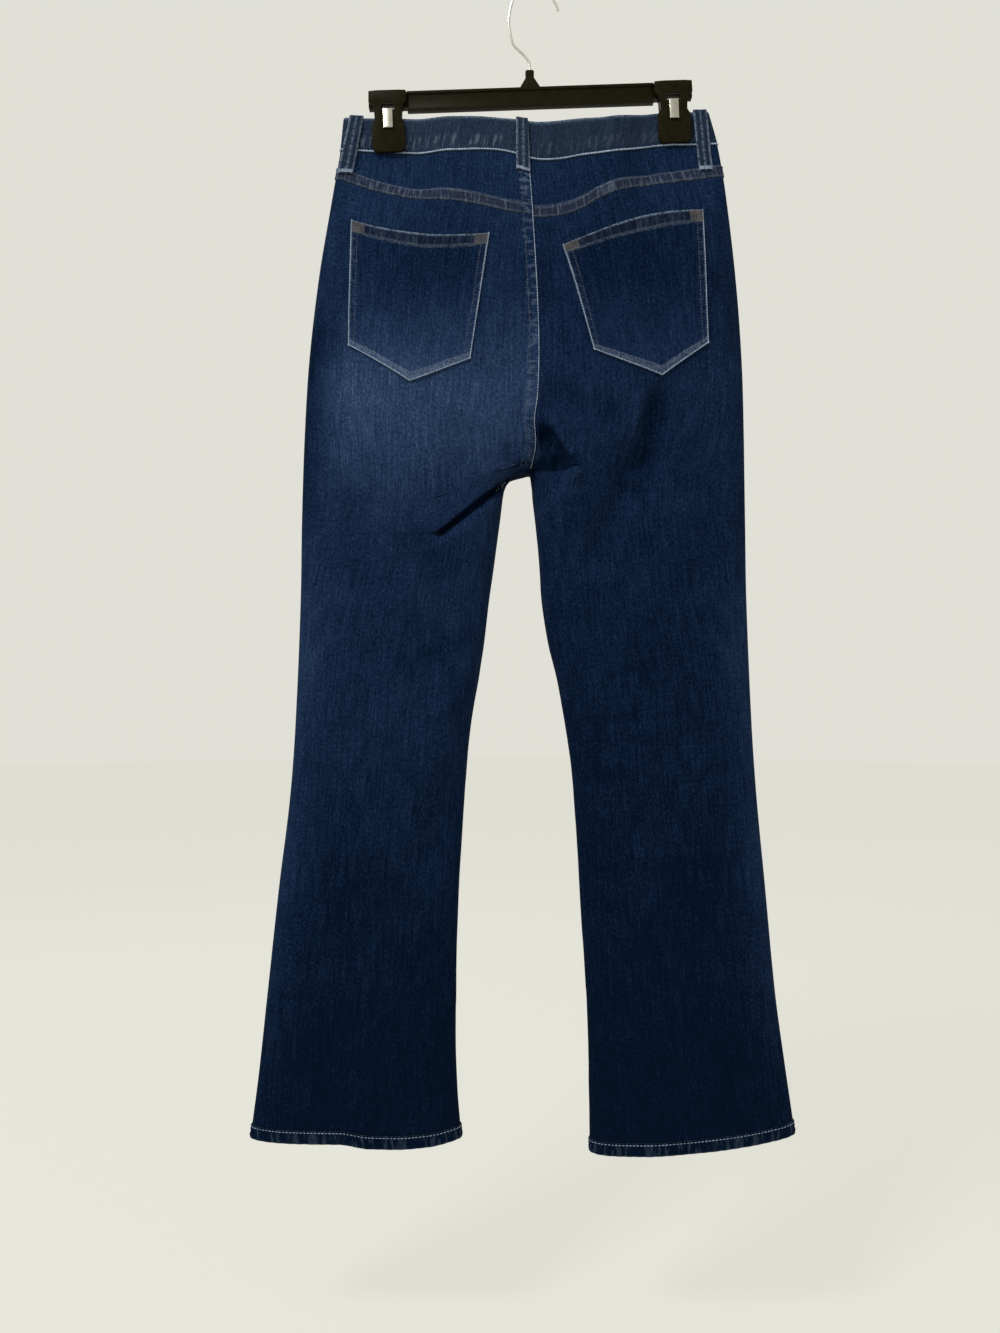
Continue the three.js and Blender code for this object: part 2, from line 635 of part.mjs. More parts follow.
function hangerBar() {
  const half = HANGER.long / 2 - 5;
  const foot = -HANGER.high;
  const parts = [
    block(-half, half, -BAR.web, BAR.web, foot, 0),
    block(-half, half, -BAR.flange, BAR.flange, -BAR.edge, 0),
    block(-half, half, -BAR.flange, BAR.flange, foot, foot + BAR.edge),
    plate(BOSS_OUTLINE, BOSS_X, -4.5, 4.5),
  ];
  let solid = parts.map(asSolid).reduce((a, b) => a.add(b));
  for (const turn of [-1, 1]) {
    const middle = turn * CLIP_OFF;
    const near = middle - HEAD.half - 0.3;
    const far = middle + HEAD.half + 0.3;
    const room = block(near, far, -12, -2.8, foot - 1, 1);
    const under = block(near, far, -12, 12, foot - 1, HEAD.low);
    const head = block(middle - HEAD.half, middle + HEAD.half, -2.8, JAW.face + JAW.deep, HEAD.low, 0);
    const jaw = plate(JAW_OUTLINE, middle, JAW.face, JAW.face + JAW.deep);
    const slot = block(middle - SLOT.half, middle + SLOT.half, -12, 12, SLOT.low, SLOT.high);
    solid = solid.subtract(asSolid(room)).subtract(asSolid(under));
    solid = solid.add(asSolid(head)).add(asSolid(jaw)).subtract(asSolid(slot));
  }
  const bore = new THREE.CylinderGeometry(2.2, 2.2, 16, 12).rotateX(Math.PI / 2).translate(BOSS_X, 0, 11.5);
  return asGeometry(solid.subtract(asSolid(bore)));
}

function clipJaw(turn) {
  const middle = turn * CLIP_OFF;
  const jaw = plate(JAW_OUTLINE, middle, -JAW.face - JAW.deep, -JAW.face);
  const slot = block(middle - SLOT.half, middle + SLOT.half, -12, 0, SLOT.low, SLOT.high);
  return asGeometry(asSolid(jaw).subtract(asSolid(slot)));
}

// A sprung strap over both jaws, through the slot, with its feet kicked out.
function clipSpring(turn) {
  const near = JAW.face + JAW.deep + GAP;
  const far = near + STRAP.thick;
  const top = SLOT.low + 1.4;
  const { foot, thick } = STRAP;
  const kick = near + 2;
  const outside = [
    [kick, foot], [kick + thick, foot + 0.6], [far, foot + 4], [far, top - 1], [far - 1, top],
  ];
  const inside = [[near, foot + 4.2], [near, top - thick]];
  const mirror = (list) => list.map(([y, z]) => [-y, z]).reverse();
  const outline = [...outside, ...mirror(outside), ...mirror(inside).reverse(), ...inside.reverse()];
  const shape = new THREE.Shape(outline.map(([y, z]) => new THREE.Vector2(y, z)));
  return new THREE.ExtrudeGeometry(shape, { depth: STRAP.wide, bevelEnabled: false })
    .rotateX(Math.PI / 2)
    .rotateZ(Math.PI / 2)
    .translate(turn * CLIP_OFF - STRAP.wide / 2, 0, 0);
}

// The hook: a straight shank, a gooseneck and a round arc whose inside top is the origin.
function hook() {
  const neck = [
    [-3.4, -104], [-3.6, -97], [-3.7, -89], [-4, -82.5], [-6, -78], [-12.6, -70.5], [-19.4, -64.3],
    [-22.9, -57.9], [-25.5, -44.5], [-26.1, -35.5], [-24.9, -25.6],
  ];
  const arc = [162, 145, 125, 105, 85, 65, 45, 28, 16].map((degrees) => {
    const turn = THREE.MathUtils.degToRad(degrees);
    return [WIRE.arc * Math.cos(turn), WIRE.radius - WIRE.arc + WIRE.arc * Math.sin(turn)];
  });
  const tip = [[25, -20.3], [26.6, -24.3]];
  const path = new THREE.CatmullRomCurve3(
    [...neck, ...arc, ...tip].map(([x, z]) => new THREE.Vector3(x, 0, z)), false, 'centripetal',
  );
  const section = new THREE.Shape();
  section.absarc(0, 0, WIRE.radius, 0, 2 * Math.PI);
  return new THREE.ExtrudeGeometry(section, {
    steps: 46, curveSegments: 4, bevelEnabled: false, extrudePath: path,
  });
}

// The shank button on the front band, with a rolled rim and a dished middle.
function button() {
  const middle = skin('left', -0.94, BAND / 2);
  const face = middle.y + BAND_WALL + 1.6;
  const radius = 8.5;
  const profile = [
    [0, 0], [4, 0], [4, 1], [radius, 1.2], [radius, 2.2], [radius - 1, 3.1], [radius - 2.2, 2.6],
    [0, 2.2],
  ];
  return new THREE.LatheGeometry(profile.map(([r, y]) => new THREE.Vector2(r, y)), 24)
    .translate(-4, face, WAIST_Z - BAND / 2 - 21);
}

const finishes = {
  denim: { color: 0x1d3558, roughness: 0.9, metalness: 0 },
  band: { color: 0x263f5f, roughness: 0.9, metalness: 0 },
  plastic: { color: 0x15130f, roughness: 0.35, metalness: 0 },
  steel: { color: 0xb9b8b2, roughness: 0.25, metalness: 1 },
  brass: { color: 0x7d6a4a, roughness: 0.4, metalness: 1 },
};

function piece(name, geometry, finish) {
  const mesh = new THREE.Mesh(geometry, new THREE.MeshStandardMaterial(finishes[finish]));
  mesh.name = name;
  return mesh;
}

const jeans = new THREE.Group();
for (const side of ['left', 'right']) {
  jeans.add(
    piece(`back_leg_${side}`, backLeg(side), 'denim'),
    piece(`front_leg_${side}`, frontLeg(side), 'denim'),
    piece(`yoke_${side}`, yoke(side), 'denim'),
    piece(`seat_pocket_${side}`, seatPocket(side), 'denim'),
    piece(`pocket_facing_${side}`, pocketFacing(side), 'denim'),
    piece(`hem_${side}`, hem(side), 'denim'),
    piece(`waistband_front_${side}`, waistbandFront(side), 'band'),
  );
}
jeans.add(piece('waistband_back', waistbandBack(), 'band'));
LOOPS.forEach((loop) => jeans.add(piece(loop.name, beltLoop(loop), 'band')));
jeans.add(piece('waist_button', button(), 'brass'));

const hanger = new THREE.Group();
hanger.position.set(HANGER.x, 0, HANGER.top);
hanger.rotation.y = THREE.MathUtils.degToRad(-HANGER.tilt);
hanger.add(
  piece('hanger_bar', hangerBar(), 'plastic'),
  piece('clip_jaw_left', clipJaw(-1), 'plastic'),
  piece('clip_jaw_right', clipJaw(1), 'plastic'),
  piece('clip_spring_left', clipSpring(-1), 'steel'),
  piece('clip_spring_right', clipSpring(1), 'steel'),
);

const jeansOnHanger = new THREE.Group();
jeansOnHanger.add(jeans, hanger, piece('hanger_hook', hook(), 'steel'));

export default jeansOnHanger;
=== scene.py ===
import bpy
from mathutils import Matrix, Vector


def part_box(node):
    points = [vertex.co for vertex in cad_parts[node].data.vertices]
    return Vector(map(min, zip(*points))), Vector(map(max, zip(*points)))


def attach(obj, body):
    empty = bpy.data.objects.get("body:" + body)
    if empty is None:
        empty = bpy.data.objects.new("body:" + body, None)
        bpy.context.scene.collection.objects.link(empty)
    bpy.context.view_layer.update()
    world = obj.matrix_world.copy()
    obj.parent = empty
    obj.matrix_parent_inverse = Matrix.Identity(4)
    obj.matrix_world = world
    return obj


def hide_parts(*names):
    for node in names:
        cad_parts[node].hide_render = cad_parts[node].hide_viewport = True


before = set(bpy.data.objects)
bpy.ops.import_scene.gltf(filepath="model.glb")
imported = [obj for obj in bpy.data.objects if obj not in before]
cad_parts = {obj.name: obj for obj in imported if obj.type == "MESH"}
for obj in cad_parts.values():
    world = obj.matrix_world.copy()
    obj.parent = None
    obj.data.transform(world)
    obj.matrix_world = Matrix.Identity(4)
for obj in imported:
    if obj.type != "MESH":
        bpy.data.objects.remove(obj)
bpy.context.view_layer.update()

import math

import bmesh
import bpy
import numpy as np
from mathutils import Vector

# Flared jeans on a clip hanger. Cloth is worked out in millimetres and made in metres.
# Looking along +Y shows the seat; the wearer's left leg is at -X. level is the distance
# below the waist's edge, and the origin is the inside top of the hook.
MM = 0.001

# Sizes shared with the frame.
DENIM = 1.6
BAND_WALL = 2.6
GAP = 0.3
WAIST_Z = -141.5
BAND = 37
BAND_STEP = 1.7
CROTCH = 383
HEM = {"left": 1097, "right": 1108}
HEM_BAND = 14
FELL = 12
FELL_RISE = 0.8
SIDE_SEAM = -0.06
INSEAM_TURN = 0.06
CROTCH_CURVE = {"seat": 95, "belly": 75}
CLIP_X = {"left": -154.7, "right": 151.3}
CLIP_HOLD = 26
PRESSED = 2.7


def table(columns, *rows):
    """Named columns of numbers from rows."""
    return dict(zip(columns.split(), np.array(rows, float).T))


# The outer folds of both legs and the depth of the cloth behind (seat) and before (belly).
BODY = table(
    "level left right seat belly",
    (0, -203, 188, 14, 11),
    (37, -207, 198, 19, 14),
    (90, -216, 207, 30, 22),
    (170, -229.5, 217, 40, 29),
    (260, -240, 223.5, 45, 32),
    (340, -245, 226, 43, 33),
    (430, -248, 227.5, 36, 31),
    (520, -249.5, 229, 31, 28),
    (650, -255, 234.5, 27, 26),
    (730, -261, 240, 26, 25),
    (820, -272, 248.5, 26, 25),
    (950, -286, 260, 27, 25),
    (1030, -294.5, 270, 27, 26),
    (1110, -305, 281, 28, 26),
)

# The inner folds of the legs.
INNER = table(
    "level left right",
    (383, -4, -4),
    (387, -18, -3),
    (392, -26, -2.5),
    (398, -30, -1.5),
    (411, -33, -0.5),
    (432, -35.5, 2),
    (475, -41, 6.5),
    (518, -47, 9.5),
    (561, -52.5, 16),
    (604, -59, 26),
    (647, -66.5, 33.5),
    (690, -71, 40),
    (733, -74, 44),
    (819, -79.5, 49.5),
    (905, -82.5, 54.5),
    (991, -83, 59),
    (1050, -81, 60),
    (1110, -75.5, 61),
)

CENTRE_SEAM = table(
    "level seat belly",
    (0, -6, -4),
    (90, -1, -4),
    (150, 2, -4),
    (215, 5, -4),
    (260, 6, -3),
    (305, 4.5, -3),
    (330, 1, -3),
    (355, 2, -3.5),
    (383, -4, -4),
)

# The yoke's lower edge, from the side seam (across 0) to the centre seam (across 1).
YOKE = table(
    "across left right",
    (0, 67, 70.5),
    (0.1, 73.5, 72.5),
    (0.25, 84, 77),
    (0.4, 92, 80.5),
    (0.55, 96.5, 86.5),
    (0.66, 99.5, 93),
    (0.78, 103.5, 104),
    (0.88, 106, 108.5),
    (1, 106, 110),
)

# Troughs (deep over 0) and ridges (under 0) along straight stretches, from (x0, l0) to (x1, l1).
FOLD_COLUMNS = "x0 l0 x1 l1 wide deep"
SEAT_FOLDS = table(
    FOLD_COLUMNS,
    (14, 348, 30, 376, 9, 9),
    (20, 336, 46, 384, 8, -5),
    (-198, 250, -184, 430, 14, 5),
    (-184, 430, -166, 575, 16, 5),
    (-160, 300, -120, 460, 34, -6),
    (132, 306, 110, 372, 16, 8),
    (110, 372, 68, 470, 18, 9),
    (20, 130, 20, 215, 11, 4),
    (-64, 590, -132, 716, 22, -5),
    (-98, 754, -152, 846, 22, 5),
)
BELLY_FOLDS = table(
    FOLD_COLUMNS,
    (-30, 398, -92, 360, 13, 7),
    (22, 400, 84, 366, 13, 7),
    (-178, 280, -160, 520, 18, 5),
    (150, 330, 96, 500, 20, 6),
    (70, 640, 140, 770, 24, -4),
    (-96, 700, -160, 800, 22, 4),
)

# Sharp creases at the crotch. Cloth on one side of the line stays full and hangs over the
# trough on the other: full 1 is the cloth above the line, -1 the cloth below it.
SEAT_TUCKS = table(
    FOLD_COLUMNS + " full",
    (-12, 381, -31, 391, 12, 7, 1),
    (-31, 391, -98, 444.5, 6, 14, 1),
    (4, 382, 40, 382, 9, 7, -1),
)

# Smaller creases and dents that only the cloth's own surface has.
SEAT_CREASES = table(
    FOLD_COLUMNS,
    (8, 338, 10, 374, 4, 5),
    (13, 346, 27, 372, 7, 7),
    (18, 336, 40, 366, 3.5, -3),
    (40, 366, 45, 388, 4, -2),
    (44, 390, 12, 424, 9, -2.6),
    (-24, 366, -16, 384, 9, 5),
    (130, 318, 106, 396, 15, 7),
    (20, 300, 80, 322, 12, 4),
    (112, 306, 104, 390, 9, -4),
    (-100, 478, -94, 488, 17, 3.5),
    (-70, 560, -128, 588, 12, 2.5),
    (-120, 452, -150, 500, 12, 2.5),
    (-110, 556, -104, 578, 21, 3.5),
    (-168, 214, -130, 226, 10, 2),
    (86, 598, 126, 590, 6, 2),
    (72, 608, 110, 610, 5, 1.6),
    (56, 648, 150, 640, 6, 1.8),
    (112, 668, 164, 664, 6, 1.6),
    (54, 712, 96, 706, 6, 1.6),
    (60, 806, 216, 796, 7, 1.6),
    (-180, 640, -120, 668, 9, -1.4),
    (-240, 700, -190, 742, 10, 1.5),
    (-150, 890, -108, 930, 12, 1.4),
    (120, 890, 170, 940, 12, 1.4),
    (-44, 150, -40, 260, 13, -1.6),
    (44, 180, 60, 300, 16, -1.6),
)
BELLY_CREASES = table(
    FOLD_COLUMNS,
    (-26, 392, -74, 408, 7, 4),
    (16, 392, 70, 410, 7, 4),
    (-150, 640, -92, 652, 6, 1.8),
    (62, 648, 132, 640, 6, 1.8),
    (-140, 690, -90, 700, 6, 1.6),
    (80, 700, 150, 694, 6, 1.5),
    (-200, 250, -150, 300, 12, 2),
    (130, 250, 180, 300, 12, 2),
    (-170, 880, -120, 920, 12, 1.4),
    (110, 880, 160, 930, 12, 1.4),
)


# How the seat's waistband lies off the plain sag: its top edge and its foot, over 0 is up.
BAND_HANG = table(
    "x top low",
    (-185, 0, 0),
    (-143, -0.5, -2.2),
    (-89, -2, -5),
    (-57, -1, -3),
    (-35, 0.5, -0.8),
    (-19, 3, -0.5),
    (2, 4, -3),
    (29, 4, -4),
    (50, 2.6, -3.8),
    (72, -1, -5.7),
    (93, -2, -6.2),
    (120, -1.5, -2),
    (150, 0, 0),
)


def mix(a, b, t):
    return a + (b - a) * t


def smooth(a, b, t):
    s = np.clip((np.asarray(t, float) - a) / (b - a), 0, 1)
    return s * s * (3 - 2 * s)


def bell(t):
    return np.exp(-t * t)


def read(rows, key, column, at):
    """A table's column at places between its rows, along a smooth curve through them."""
    keys, values = rows[key], rows[column]
    slopes = np.empty_like(values)
    slopes[1:-1] = (values[2:] - values[:-2]) / (keys[2:] - keys[:-2])
    slopes[0] = (values[1] - values[0]) / (keys[1] - keys[0])
    slopes[-1] = (values[-1] - values[-2]) / (keys[-1] - keys[-2])
    at = np.clip(at, keys[0], keys[-1])
    i = np.clip(np.searchsorted(keys, at) - 1, 0, len(keys) - 2)
    h = keys[i + 1] - keys[i]
    u = (at - keys[i]) / h
    return (
        values[i] * (1 + 2 * u) * (1 - u) ** 2
        + slopes[i] * h * u * (1 - u) ** 2
        + values[i + 1] * u * u * (3 - 2 * u)
        + slopes[i + 1] * h * u * u * (u - 1)
    )


def by_face(seat, rows, level):
    return np.where(seat, read(rows, "level", "seat", level), read(rows, "level", "belly", level))


def parting(seat, level):
    """0 where the trunk is one tube, 1 where the legs are two."""
    curve = np.where(seat, CROTCH_CURVE["seat"], CROTCH_CURVE["belly"])
    t = np.clip((level - CROTCH + curve) / curve, 0, 1)
    return 1 - np.sqrt(1 - t * t)


def troughs(folds, x, level):
    """How far folds move the cloth in."""
    depth = np.zeros(np.broadcast(x, level).shape)
    for x0, l0, x1, l1, wide, deep, *full in zip(*folds.values()):
        dx, dl = x1 - x0, l1 - l0
        long = math.hypot(dx, dl)
        along = ((x - x0) * dx + (level - l0) * dl) / long
        off = ((x - x0) * dl - (level - l0) * dx) / long
        past = np.maximum(0, np.maximum(-along, along - long))
        here = deep * bell(off / wide) * bell(past / wide)
        if full:
            here = here * smooth(-0.5, 0.9, off * full[0] * math.copysign(1, -dx))
        depth = depth + here
    return depth


def lift(side, seat, x, level):
    """How the waist's edge and the slanted hem lift or lower the cloth."""
    sag_seat = 12.5 * bell((x - 8) / np.where(x < 8, 44, 58))
    sag = np.where(seat, sag_seat, 21 * bell((x + 4) / 88))
    waist = (6.5 * smooth(40, 150, x) - sag) * (1 - smooth(40, 190, level))
    if side == "right":
        hem = 20 * np.clip((x - 60) / 220, 0, 1) ** 1.7
    else:
        hem = 4.5 * (1 - smooth(-206, -172, x)) + 4 * smooth(-112, -76, x) - bell((x + 142) / 22)
    top, low = read(BAND_HANG, "x", "top", x), read(BAND_HANG, "x", "low", x)
    hang = mix(top, low, np.minimum(1, level / BAND)) * (1 - smooth(BAND, 90, level))
    waist = waist + np.where(seat, hang, 0)
    return waist + hem * smooth(780, 1100, level)


def skin(side, s, level):
    """A place on the outer face of the cloth. s runs from the outer fold (0) round the seat to
    the centre seam or inner fold (1), and round the belly to the same place (-1)."""
    s, level = np.broadcast_arrays(np.asarray(s, float), np.asarray(level, float))
    s = np.where(np.abs(s) > 1, s - 2 * np.sign(s), s)
    seat, a = s >= 0, np.abs(s)
    square = mix(3.8, 2.6, smooth(0, 150, level))

    def round_off(t):
        return (1 - np.clip(t, 0, 1) ** square) ** (1 / square)

    across = mix(a**1.6, (1 - np.cos(math.pi * a)) / 2, smooth(290, 470, level))
    outer_roll = mix(1, 0.5, smooth(300, 620, level))
    inner_roll = mix(0.24, 0.5, smooth(CROTCH, 580, level))
    closing = mix(1, round_off(1 - (1 - across) / inner_roll), parting(seat, level))
    full = round_off(1 - across / outer_roll) * closing
    outer = read(BODY, "level", side, level)
    seam = by_face(seat, CENTRE_SEAM, level)
    thigh = read(INNER, "level", side, np.maximum(432, level))
    inner = np.where(level <= CROTCH, seam, read(INNER, "level", side, level))
    even = mix(seam, thigh, smooth(320, 480, level))
    x = mix(outer, even, across) + (inner - even) * across**6

    seat_folds = troughs(SEAT_FOLDS, x, level) + troughs(SEAT_TUCKS, x, level)
    folds = np.where(seat, seat_folds, troughs(BELLY_FOLDS, x, level))
    depth = by_face(seat, BODY, level) * full - folds * smooth(0.1, 0.75, full)
    off = np.abs(x - CLIP_X[side])
    pressed = (1 - smooth(CLIP_HOLD, 68, off)) * (1 - smooth(39, 130, level))
    depth = mix(depth, np.minimum(depth, PRESSED), pressed)
    z = WAIST_Z - level + lift(side, seat, x, level)
    return np.stack([x, np.where(seat, -depth, depth), z], axis=-1)


def unit(v):
    return v / np.maximum(np.linalg.norm(v, axis=-1, keepdims=True), 1e-9)


def facing(side, s, level):
    """The direction out of the cloth."""
    s, level = np.broadcast_arrays(np.asarray(s, float), np.asarray(level, float))
    turn = 1 if side == "left" else -1
    trunk = level <= CROTCH
    centre = trunk & (np.abs(np.abs(s) - 1) < 1e-6)
    low = np.where(trunk, np.minimum(CROTCH, level + 3), level + 3)
    high = np.where(trunk, level - 3, np.maximum(CROTCH + 0.01, level - 3))
    down = skin(side, s, np.where(centre, level, low)) - skin(side, s, high)
    span = np.where(trunk, np.minimum(0.02, (1 - np.abs(s)) * 0.9), 0.02)
    along = skin(side, s + span, level) - skin(side, s - span, level)
    along[centre] = np.stack([np.sign(s[centre]) * turn] + [0 * s[centre]] * 2, axis=-1)
    out = unit(np.cross(down, along) * turn)
    out[centre & (level > CROTCH - 0.01)] = (0, 0, -1)
    return out


def lattice(x, y, seed):
    """Smooth noise from -1 to 1 with cells of size 1."""
    cx, cy = np.floor(x), np.floor(y)
    u, v = smooth(0, 1, x - cx), smooth(0, 1, y - cy)

    def corner(i, j):
        wave = np.sin((cx + i) * 127.1 + (cy + j) * 311.7 + seed * 74.7) * 43758.5453
        return 2 * (wave - np.floor(wave)) - 1

    return mix(mix(corner(0, 0), corner(1, 0), u), mix(corner(0, 1), corner(1, 1), u), v)


def creases(seat, x, level):
    return np.where(seat, troughs(SEAT_CREASES, x, level), troughs(BELLY_CREASES, x, level))


def relief(side, s, place, level):
    """How far the cloth's own drape stands out of the plain form."""
    s = np.where(np.abs(s) > 1, s - 2 * np.sign(s), s)
    seat = s >= 0
    x = place[..., 0]
    seed = np.where(seat, 3, 7) + (11 if side == "right" else 0)
    calm = smooth(45, 140, level)
    drape = 1.1 * lattice(x / 62, level / 95, seed) + 0.5 * lattice(x / 27, level / 41, seed + 1)
    drape = drape + 0.22 * lattice(x / 11, level / 15, seed + 2)
    flutter = 1.6 * smooth(700, 1050, level) * lattice(x / 44, level / 420, seed + 3)
    roll = smooth(0.0, 0.14, np.abs(s)) * (1 - 0.5 * smooth(0.9, 1, np.abs(s)))
    return (drape + flutter) * calm * roll - creases(seat, x, level) * roll


def cloth(side, s, level, rise=0.0):
    """A place on the draped cloth, raised by a distance."""
    place = skin(side, s, level)
    out = facing(side, s, level)
    return place + out * (rise + relief(side, s, place, level))[..., None]


def column_at(side, face, x, level):
    """The place on one face of the cloth at an x and a level."""
    x, level = np.broadcast_arrays(np.asarray(x, float), np.asarray(level, float))
    low, high = np.zeros(x.shape), np.ones(x.shape)
    turn = 1 if face == "seat" else -1
    for _ in range(26):
        middle = (low + high) / 2
        here = skin(side, turn * middle, level)[..., 0]
        inside = here < x if side == "left" else here > x
        low, high = np.where(inside, middle, low), np.where(inside, high, middle)
    return turn * (low + high) / 2


def inseam(level):
    return 1 + INSEAM_TURN * smooth(CROTCH, CROTCH + 80, level)


def yoke_level(side, s):
    return read(YOKE, "across", side, np.maximum(0, s) ** 1.6)


SCOOP_FROM, SCOOP_TO, SCOOP_DIP = 0.06, 0.66, 76


def scoop_level(s):
    low, high = SCOOP_FROM**1.6, SCOOP_TO**1.6
    e = np.clip((np.abs(s) ** 1.6 - low) / (high - low), 0, 1)
    return BAND + GAP / 2 + SCOOP_DIP * np.sqrt(1 - e * e)


# Layout of a piece: rows of places on the cloth, evenly spaced along each row.
RIM = (0.0, 0.25, 0.9)  # where a cut edge rounds off
ROUND = 0.8


def places(total, step, near=(), far=()):
    """Distances along a width: rounded rims, an even spacing, and marks near either end."""
    count = max(3, round((total - 2 * RIM[-1]) / step))
    even = np.linspace(RIM[-1], total - RIM[-1], count)
    marks = np.concatenate([RIM, near, total - np.array(RIM), total - np.array(far)])
    free = np.min(np.abs(even[:, None] - marks[None, :]), axis=1) > step * 0.35
    return np.sort(np.concatenate([marks, even[free]]))


def lay_out(side, start, end, rows, step, near=(), far=()):
    """Cells between two seams. start and end give s for a level; rows are functions of s."""
    fine = np.linspace(0, 1, 260)
    curves = []
    for row in rows:
        middle = row(np.array([0.9 if start(0) >= -0.2 else -0.9]))[0]
        s = mix(start(middle), end(middle), fine)
        level = row(s)
        along = np.linalg.norm(np.diff(skin(side, s, level)[:, :2], axis=0), axis=1)
        curves.append((s, level, np.concatenate([[0], np.cumsum(along)])))
    usual = float(np.mean([c[2][-1] for c in curves]))
    share = places(usual, step, near, far) / usual
    cells = {"s": [], "level": [], "u": [], "width": []}
    for s, level, run in curves:
        at = near_ends(share, usual, run[-1], near, far)
        cells["s"].append(np.interp(at, run, s))
        cells["level"].append(np.interp(at, run, level))
        cells["u"].append(at)
        cells["width"].append(np.full(len(at), run[-1]))
    cells = {k: np.array(v) for k, v in cells.items()}
    down = np.linalg.norm(np.diff(skin(side, cells["s"], cells["level"]), axis=0), axis=-1)
    cells["v"] = np.concatenate([np.zeros((1, down.shape[1])), np.cumsum(down, axis=0)])
    cells["length"] = np.broadcast_to(cells["v"][-1:], cells["v"].shape)
    cells["side"] = side
    return cells


def near_ends(share, usual, width, near, far):
    """Keeps the rims and marks at their true distance from the ends in a wider or narrower row."""
    at = share * usual
    stretch = at * width / usual
    hold = max([RIM[-1], *near, *far]) + 0.01
    if width < 2.2 * hold:
        return stretch
    low = np.where(at <= hold, at, 0)
    high = np.where(at >= usual - hold, width - usual + at, 0)
    inner = hold + (at - hold) * (width - 2 * hold) / (usual - 2 * hold)
    return np.where(at <= hold, low, np.where(at >= usual - hold, high, inner))


def rounding(cells, sides="tblr"):
    """How far a cut edge falls away at each cell."""
    edges = {
        "t": cells["v"],
        "b": cells["length"] - cells["v"],
        "l": cells["u"],
        "r": cells["width"] - cells["u"],
    }
    near = np.minimum.reduce([edges[k] for k in sides])
    t = np.clip(1 - near / ROUND, 0, 1)
    return ROUND * (1 - np.sqrt(1 - t * t))


def shell(name, outer, inner, uv, marks, ring=False):
    """A closed wall between two grids of points, with its UV map and painted marks."""
    rows, columns = outer.shape[:2]
    index = np.arange(rows * columns).reshape(rows, columns)
    if ring:
        index = np.concatenate([index, index[:, :1]], axis=1)
    back = index + rows * columns
    quads = []

    def add(a, b, c, d):
        quads.append(np.stack([a.ravel(), b.ravel(), c.ravel(), d.ravel()], axis=1))

    add(index[:-1, :-1], index[:-1, 1:], index[1:, 1:], index[1:, :-1])
    add(back[:-1, :-1], back[1:, :-1], back[1:, 1:], back[:-1, 1:])
    if not ring:
        add(index[:-1, 0], index[1:, 0], back[1:, 0], back[:-1, 0])
        add(index[:-1, -1], back[:-1, -1], back[1:, -1], index[1:, -1])
    add(index[0, :-1], back[0, :-1], back[0, 1:], index[0, 1:])
    add(index[-1, :-1], index[-1, 1:], back[-1, 1:], back[-1, :-1])
    faces = np.concatenate(quads)
    points = np.concatenate([outer.reshape(-1, 3), inner.reshape(-1, 3)]) * MM
    a, b, c = (points[faces[:, k]] for k in (0, 1, 2))
    d = points[faces[:, 3]]
    volume = (a * np.cross(b, c)).sum() + (a * np.cross(c, d)).sum()
    if volume > 0:
        faces = faces[:, ::-1]
    faces = faces[:, ::-1]
    mesh = bpy.data.meshes.new(name)
    mesh.from_pydata(points.tolist(), [], faces.tolist())
    flat = np.concatenate([uv.reshape(-1, 2)] * 2) * MM
    corners = np.empty(len(mesh.loops), dtype=np.int32)
    mesh.loops.foreach_get("vertex_index", corners)
    layer = mesh.uv_layers.new(name="cloth")
    layer.data.foreach_set("uv", flat[corners].ravel())
    marks = {"inside": 0.0, **marks}
    for mark, value in marks.items():
        value = np.broadcast_to(value, outer.shape[:2]).astype(float).ravel()
        inside = np.ones_like(value) if mark == "inside" else value
        data = mesh.attributes.new(mark, "FLOAT", "POINT").data
        data.foreach_set("value", np.concatenate([value, inside]).astype(np.float32))
    mesh.shade_smooth()
    return made(name, mesh)


def made(name, mesh):
    thing = bpy.data.objects.new(name, mesh)
    bpy.context.scene.collection.objects.link(thing)
    return thing


# Large fading of the washed cloth with painted shade in it, by level: how light each leg is. The right leg
# is painted darker than the left as painted shade, and both legs darken towards the hems partly from washing
# and partly as painted shade.
FADE_AND_SHADE = table(
    "level left right",
    (0, 0.34, 0.28),
    (60, 0.31, 0.25),
    (120, 0.29, 0.23),
    (180, 0.30, 0.21),
    (240, 0.44, 0.25),
    (300, 0.62, 0.29),
    (350, 0.56, 0.26),
    (430, 0.38, 0.22),
    (560, 0.31, 0.16),
    (700, 0.23, 0.11),
    (860, 0.10, 0.05),
    (980, 0.02, 0.0),
    (1110, -0.02, -0.04),
)


def fade_and_shade_tone(cells, face):
    side, s, level = cells["side"], cells["s"], cells["level"]
    tone = read(FADE_AND_SHADE, "level", side, level)
    if face == "belly":
        other = read(FADE_AND_SHADE, "level", "right" if side == "left" else "left", level)
        tone = mix(tone, (tone + other) / 2, smooth(0, 0.5, np.abs(s)))
    middle = bell((np.abs(s) - 0.45) / 0.28) * (face == "seat")
    edge = 1 - smooth(0.05, 0.38, np.abs(s))
    inner = smooth(0.85, 1, np.abs(s)) * smooth(420, 560, level)
    legs = smooth(420, 560, level) * (1 - 0.6 * smooth(900, 1050, level))
    # On the left hip the seat's middle is a little lighter, and the outer edge is painted darker as painted
    # shade.
    hip = smooth(180, 260, level) * (1 - smooth(350, 470, level)) * (side == "left")
    edge_tone = 0.22 if side == "left" else 0.32
    tone = tone + (edge_tone * edge + 0.05 * inner) * legs + hip * (0.08 * middle - 0.45 * edge)
    return tone - (0.03 if face == "belly" else 0)


